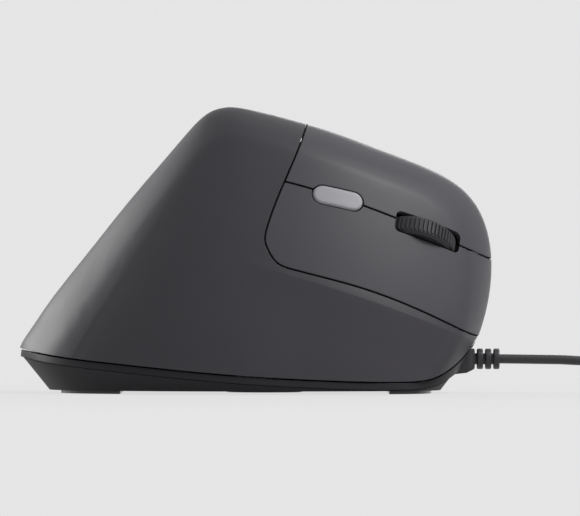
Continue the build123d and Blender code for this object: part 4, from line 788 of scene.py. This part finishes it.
class MOUSE_OT_lay_cord(bpy.types.Operator):
    """Lay the cord from the strain relief to its coil and the plug"""

    bl_idname = "mouse.lay_cord"
    bl_label = "Cord"

    def coil_point(self, values, half_turns, centre, floor, plug_height):
        """Point of the coil, a number of half turns in from its start."""
        last = values.layers - 1
        outer = values.coil_inner + values.half_turns * values.coil_pitch / 2
        layer_turns = values.half_turns + 1
        layer = min(last, int((half_turns + 0.5) // layer_turns))
        along = half_turns - layer * layer_turns
        steady = min(max(along, -0.5), values.half_turns + (0.5 if layer < last else 0))
        inward = outer - steady * values.coil_pitch / 2
        radius = inward if layer % 2 == 0 else values.coil_inner + steady * values.coil_pitch / 2
        climb = min(max(along - values.half_turns, 0.0), 1.0) if layer < last else 0.0
        if along < 0:
            climb = along + 1
            layer -= 1
        height = floor + values.coil_pitch * (layer + climb * climb * (3 - 2 * climb))
        tail = half_turns - last * layer_turns - values.half_turns
        if tail > 0:
            radius = outer + values.tail_spread * ease(tail)
            height += (plug_height - height) * ease(tail)
        angle = math.pi * (half_turns - 0.5)
        return centre + Vector((radius * math.cos(angle), radius * math.sin(angle), height))

    def add_contacts(self):
        """Four plated contacts under the plug's tongue."""
        low, high = (Vector(corner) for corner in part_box("plug_tongue"))
        middle = (low.y + high.y) / 2
        bm = bmesh.new()
        for place, reach in CONTACTS:
            rounded_block(bm, (high.x - reach - CONTACT_BACK, middle + place - CONTACT_HALF_WIDTH,
                               low.z - CONTACT_PROUD),
                          (high.x - CONTACT_BACK, middle + place + CONTACT_HALF_WIDTH, low.z + CONTACT_SUNK),
                          SMALL_EDGE)
        return new_piece("plug_contacts", mesh_from("plug_contacts", bm), "mouse",
                         metal("gold_contact", (0.78, 0.56, 0.23), 0.18, (1.0, 30.0, 30.0)))

    def execute(self, context):
        values = context.scene.mouse_cord
        radius = values.diameter / 2
        outer = values.coil_inner + values.half_turns * values.coil_pitch / 2
        relief_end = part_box("strain_relief")[1][0]
        coil_low, coil_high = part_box("cord_coil")
        plug_low, plug_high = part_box("plug_overmould")
        floor = coil_low[2] + radius
        centre = Vector((relief_end + 0.088, outer, 0.0))
        plug_height = (plug_low[2] + plug_high[2]) / 2
        count = values.layers * values.half_turns + values.layers
        start = self.coil_point(values, 0.0, centre, floor, plug_height)
        last = self.coil_point(values, float(count), centre, floor, plug_height)
        lead_in = start - Vector((values.diameter, 0.0, 0.0))
        route = [Vector((relief_end, 0.0, values.exit_height)), Vector((relief_end + 0.033, 0.0, values.exit_height)),
                 Vector((lead_in.x - 0.018, 0.0, radius + 0.00005)), lead_in]
        steps = 8
        turns = [self.coil_point(values, number / steps, centre, floor, plug_height)
                 for number in range(count * steps + 1)]
        end = last + Vector((math.copysign(values.diameter, math.cos(math.pi * count)), 0.0, 0.0))
        points = route + turns + [end]
        curve = bpy.data.curves.new("cord_line", "CURVE")
        curve.dimensions = "3D"
        line = curve.splines.new("NURBS")
        line.points.add(len(points) - 1)
        for spot, point in zip(line.points, points):
            spot.co = (point.x, point.y, point.z, 1.0)
        line.order_u = 3
        line.use_endpoint_u = True
        line.resolution_u = 4
        curve.bevel_depth = radius
        curve.bevel_resolution = 4
        curve.use_fill_caps = True
        cord = bpy.data.objects.new("mouse_cord", curve)
        context.scene.collection.objects.link(cord)
        jacket = moulded("cord_jacket", values.jacket_colour, 0.42, 0.0003, 0.000006, wear=0.12, sheen=0.05)
        curve.materials.append(jacket)
        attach(cord, "mouse")
        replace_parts(cord, "cord", "cord_coil")
        finish_node(jacket, "strain_relief", "plug_overmould", "inner_lead")
        finish_node(moulded("tie_plastic", (0.02, 0.02, 0.022), 0.38, 0.0003, 0.000004), "coil_tie")
        finish_node(metal("plated_sheet", (0.66, 0.66, 0.68), 0.2, (1.0, 40.0, 40.0)), "plug_shell")
        finish_node(moulded("tongue_plastic", (0.75, 0.75, 0.73), 0.35, 0.0003, 0.000003, wear=0.05), "plug_tongue")
        contacts = self.add_contacts()
        return {"FINISHED"}


class MOUSE_OT_set_stage(bpy.types.Operator):
    """Set the floor, the world, the lamps and the camera"""

    bl_idname = "mouse.set_stage"
    bl_label = "Stage"

    def seen_directly(self, tree, place):
        """1 for rays that show the background: from the camera, in gloss and through glass."""
        path = add_node(tree, "LightPath", place)
        first = add_node(tree, "Math", (place[0] + 200, place[1]), operation="ADD", use_clamp=True)
        both = add_node(tree, "Math", (place[0] + 400, place[1]), operation="ADD", use_clamp=True)
        tree.links.new(path.outputs["Is Camera Ray"], first.inputs[0])
        tree.links.new(path.outputs["Is Glossy Ray"], first.inputs[1])
        tree.links.new(first.outputs[0], both.inputs[0])
        tree.links.new(path.outputs["Is Transmission Ray"], both.inputs[1])
        return both.outputs[0]

    def lamp(self, context, name, place, size, power):
        """Rectangular lamp that looks at a point."""
        light = bpy.data.lights.new(name, "AREA")
        light.shape = "RECTANGLE"
        light.size, light.size_y = size
        light.energy = power
        holder = bpy.data.objects.new(name, light)
        holder.location = place
        holder.rotation_euler = (Vector(LAMP_AIM) - Vector(place)).to_track_quat("-Z", "Y").to_euler()
        context.scene.collection.objects.link(holder)

    def execute(self, context):
        scene = context.scene
        values = scene.mouse_stage
        backdrop = opaque(values.floor_colour)
        world = bpy.data.worlds.new("studio")
        scene.world = world
        world.use_nodes = True
        tree = world.node_tree
        sky = tree.nodes["Background"]
        sky.inputs["Color"].default_value = backdrop
        strength = add_node(tree, "MapRange", (-200, -100))
        strength.inputs["To Min"].default_value = values.world_strength
        strength.inputs["To Max"].default_value = 1.0
        tree.links.new(self.seen_directly(tree, (-800, -100)), strength.inputs["Value"])
        tree.links.new(strength.outputs[0], sky.inputs["Strength"])

        material = bpy.data.materials.new("floor_paper")
        material.use_nodes = True
        tree = material.node_tree
        shader = tree.nodes["Principled BSDF"]
        shader.inputs["Base Color"].default_value = backdrop
        shader.inputs["Roughness"].default_value = 0.9
        glow = add_node(tree, "Emission", (0, -300))
        glow.inputs["Color"].default_value = backdrop
        mix = add_node(tree, "MixShader", (500, 0))
        place = add_node(tree, "TexCoord", (-900, 500))
        away = add_node(tree, "VectorMath", (-700, 500), operation="LENGTH")
        even = add_node(tree, "MapRange", (-450, 500), interpolation_type="SMOOTHSTEP")
        even.inputs["From Min"].default_value = EVEN_FROM
        even.inputs["From Max"].default_value = EVEN_TO
        even.inputs["To Min"].default_value = EVEN_SHARE
        share = add_node(tree, "Math", (250, 250), operation="MULTIPLY")
        tree.links.new(place.outputs["Object"], away.inputs[0])
        tree.links.new(away.outputs["Value"], even.inputs["Value"])
        tree.links.new(even.outputs[0], share.inputs[1])
        tree.links.new(self.seen_directly(tree, (-400, 250)), share.inputs[0])
        tree.links.new(share.outputs[0], mix.inputs["Fac"])
        tree.links.new(shader.outputs[0], mix.inputs[1])
        tree.links.new(glow.outputs[0], mix.inputs[2])
        clear = add_node(tree, "BsdfTransparent", (500, -200))
        under = add_node(tree, "NewGeometry", (500, 300))
        sided = add_node(tree, "MixShader", (750, 0))
        tree.links.new(under.outputs["Backfacing"], sided.inputs["Fac"])
        tree.links.new(mix.outputs[0], sided.inputs[1])
        tree.links.new(clear.outputs[0], sided.inputs[2])
        tree.links.new(sided.outputs[0], tree.nodes["Material Output"].inputs["Surface"])
        bm = bmesh.new()
        bmesh.ops.create_circle(bm, cap_ends=True, radius=FLOOR_RADIUS, segments=FLOOR_SIDES)
        bmesh.ops.translate(bm, verts=bm.verts, vec=(0, 0, -FLOOR_DROP))
        bmesh.ops.recalc_face_normals(bm, faces=bm.faces)
        mesh = bpy.data.meshes.new("floor")
        bm.to_mesh(mesh)
        bm.free()
        mesh.materials.append(material)
        floor = bpy.data.objects.new("floor", mesh)
        scene.collection.objects.link(floor)

        for name, place, size, power in LAMPS:
            self.lamp(context, name, place, size, getattr(values, power))

        camera = bpy.data.cameras.new("camera")
        camera.sensor_width = 36.0
        camera.lens = camera.sensor_width * values.camera_distance / values.picture_width
        camera.clip_end = 20.0
        holder = bpy.data.objects.new("camera", camera)
        holder.location = Vector(CAMERA_AIM) + Vector((0.0, -values.camera_distance, 0.0))
        holder.rotation_euler = (math.radians(90), 0.0, 0.0)
        scene.collection.objects.link(holder)
        scene.camera = holder
        scene.view_settings.view_transform = "Standard"
        return {"FINISHED"}


class MOUSE_PT_dresser(bpy.types.Panel):
    """Lists the mouse's operators and their values"""

    bl_idname = "MOUSE_PT_dresser"
    bl_label = "Upright mouse"
    bl_space_type = "VIEW_3D"
    bl_region_type = "UI"
    bl_category = "Mouse"

    def draw(self, context):
        layout = self.layout
        for operator in OPERATORS:
            layout.operator(operator.bl_idname)
        for name in ("mouse_shell", "mouse_key", "mouse_cord", "mouse_stage"):
            values = getattr(context.scene, name)
            box = layout.box()
            for field in values.__annotations__:
                box.prop(values, field)


OPERATORS = (
    MOUSE_OT_set_stage,
    MOUSE_OT_lay_cord,
    MOUSE_OT_dress_shells,
    MOUSE_OT_dress_base,
    MOUSE_OT_dress_keys,
    MOUSE_OT_dress_insides,
)
SETTINGS = {
    "mouse_shell": MouseShellSettings,
    "mouse_key": MouseKeySettings,
    "mouse_cord": MouseCordSettings,
    "mouse_stage": MouseStageSettings,
}


def register():
    for name, settings in SETTINGS.items():
        bpy.utils.register_class(settings)
        setattr(bpy.types.Scene, name, PointerProperty(type=settings))
    for operator in OPERATORS:
        bpy.utils.register_class(operator)
    bpy.utils.register_class(MOUSE_PT_dresser)


def unregister():
    bpy.utils.unregister_class(MOUSE_PT_dresser)
    for operator in reversed(OPERATORS):
        bpy.utils.unregister_class(operator)
    for name, settings in SETTINGS.items():
        delattr(bpy.types.Scene, name)
        bpy.utils.unregister_class(settings)


def main():
    register()
    bpy.ops.mouse.set_stage()
    bpy.ops.mouse.lay_cord()
    bpy.ops.mouse.dress_shells()
    bpy.ops.mouse.dress_base()
    bpy.ops.mouse.dress_keys()
    bpy.ops.mouse.dress_insides()


if __name__ == "__main__":
    main()
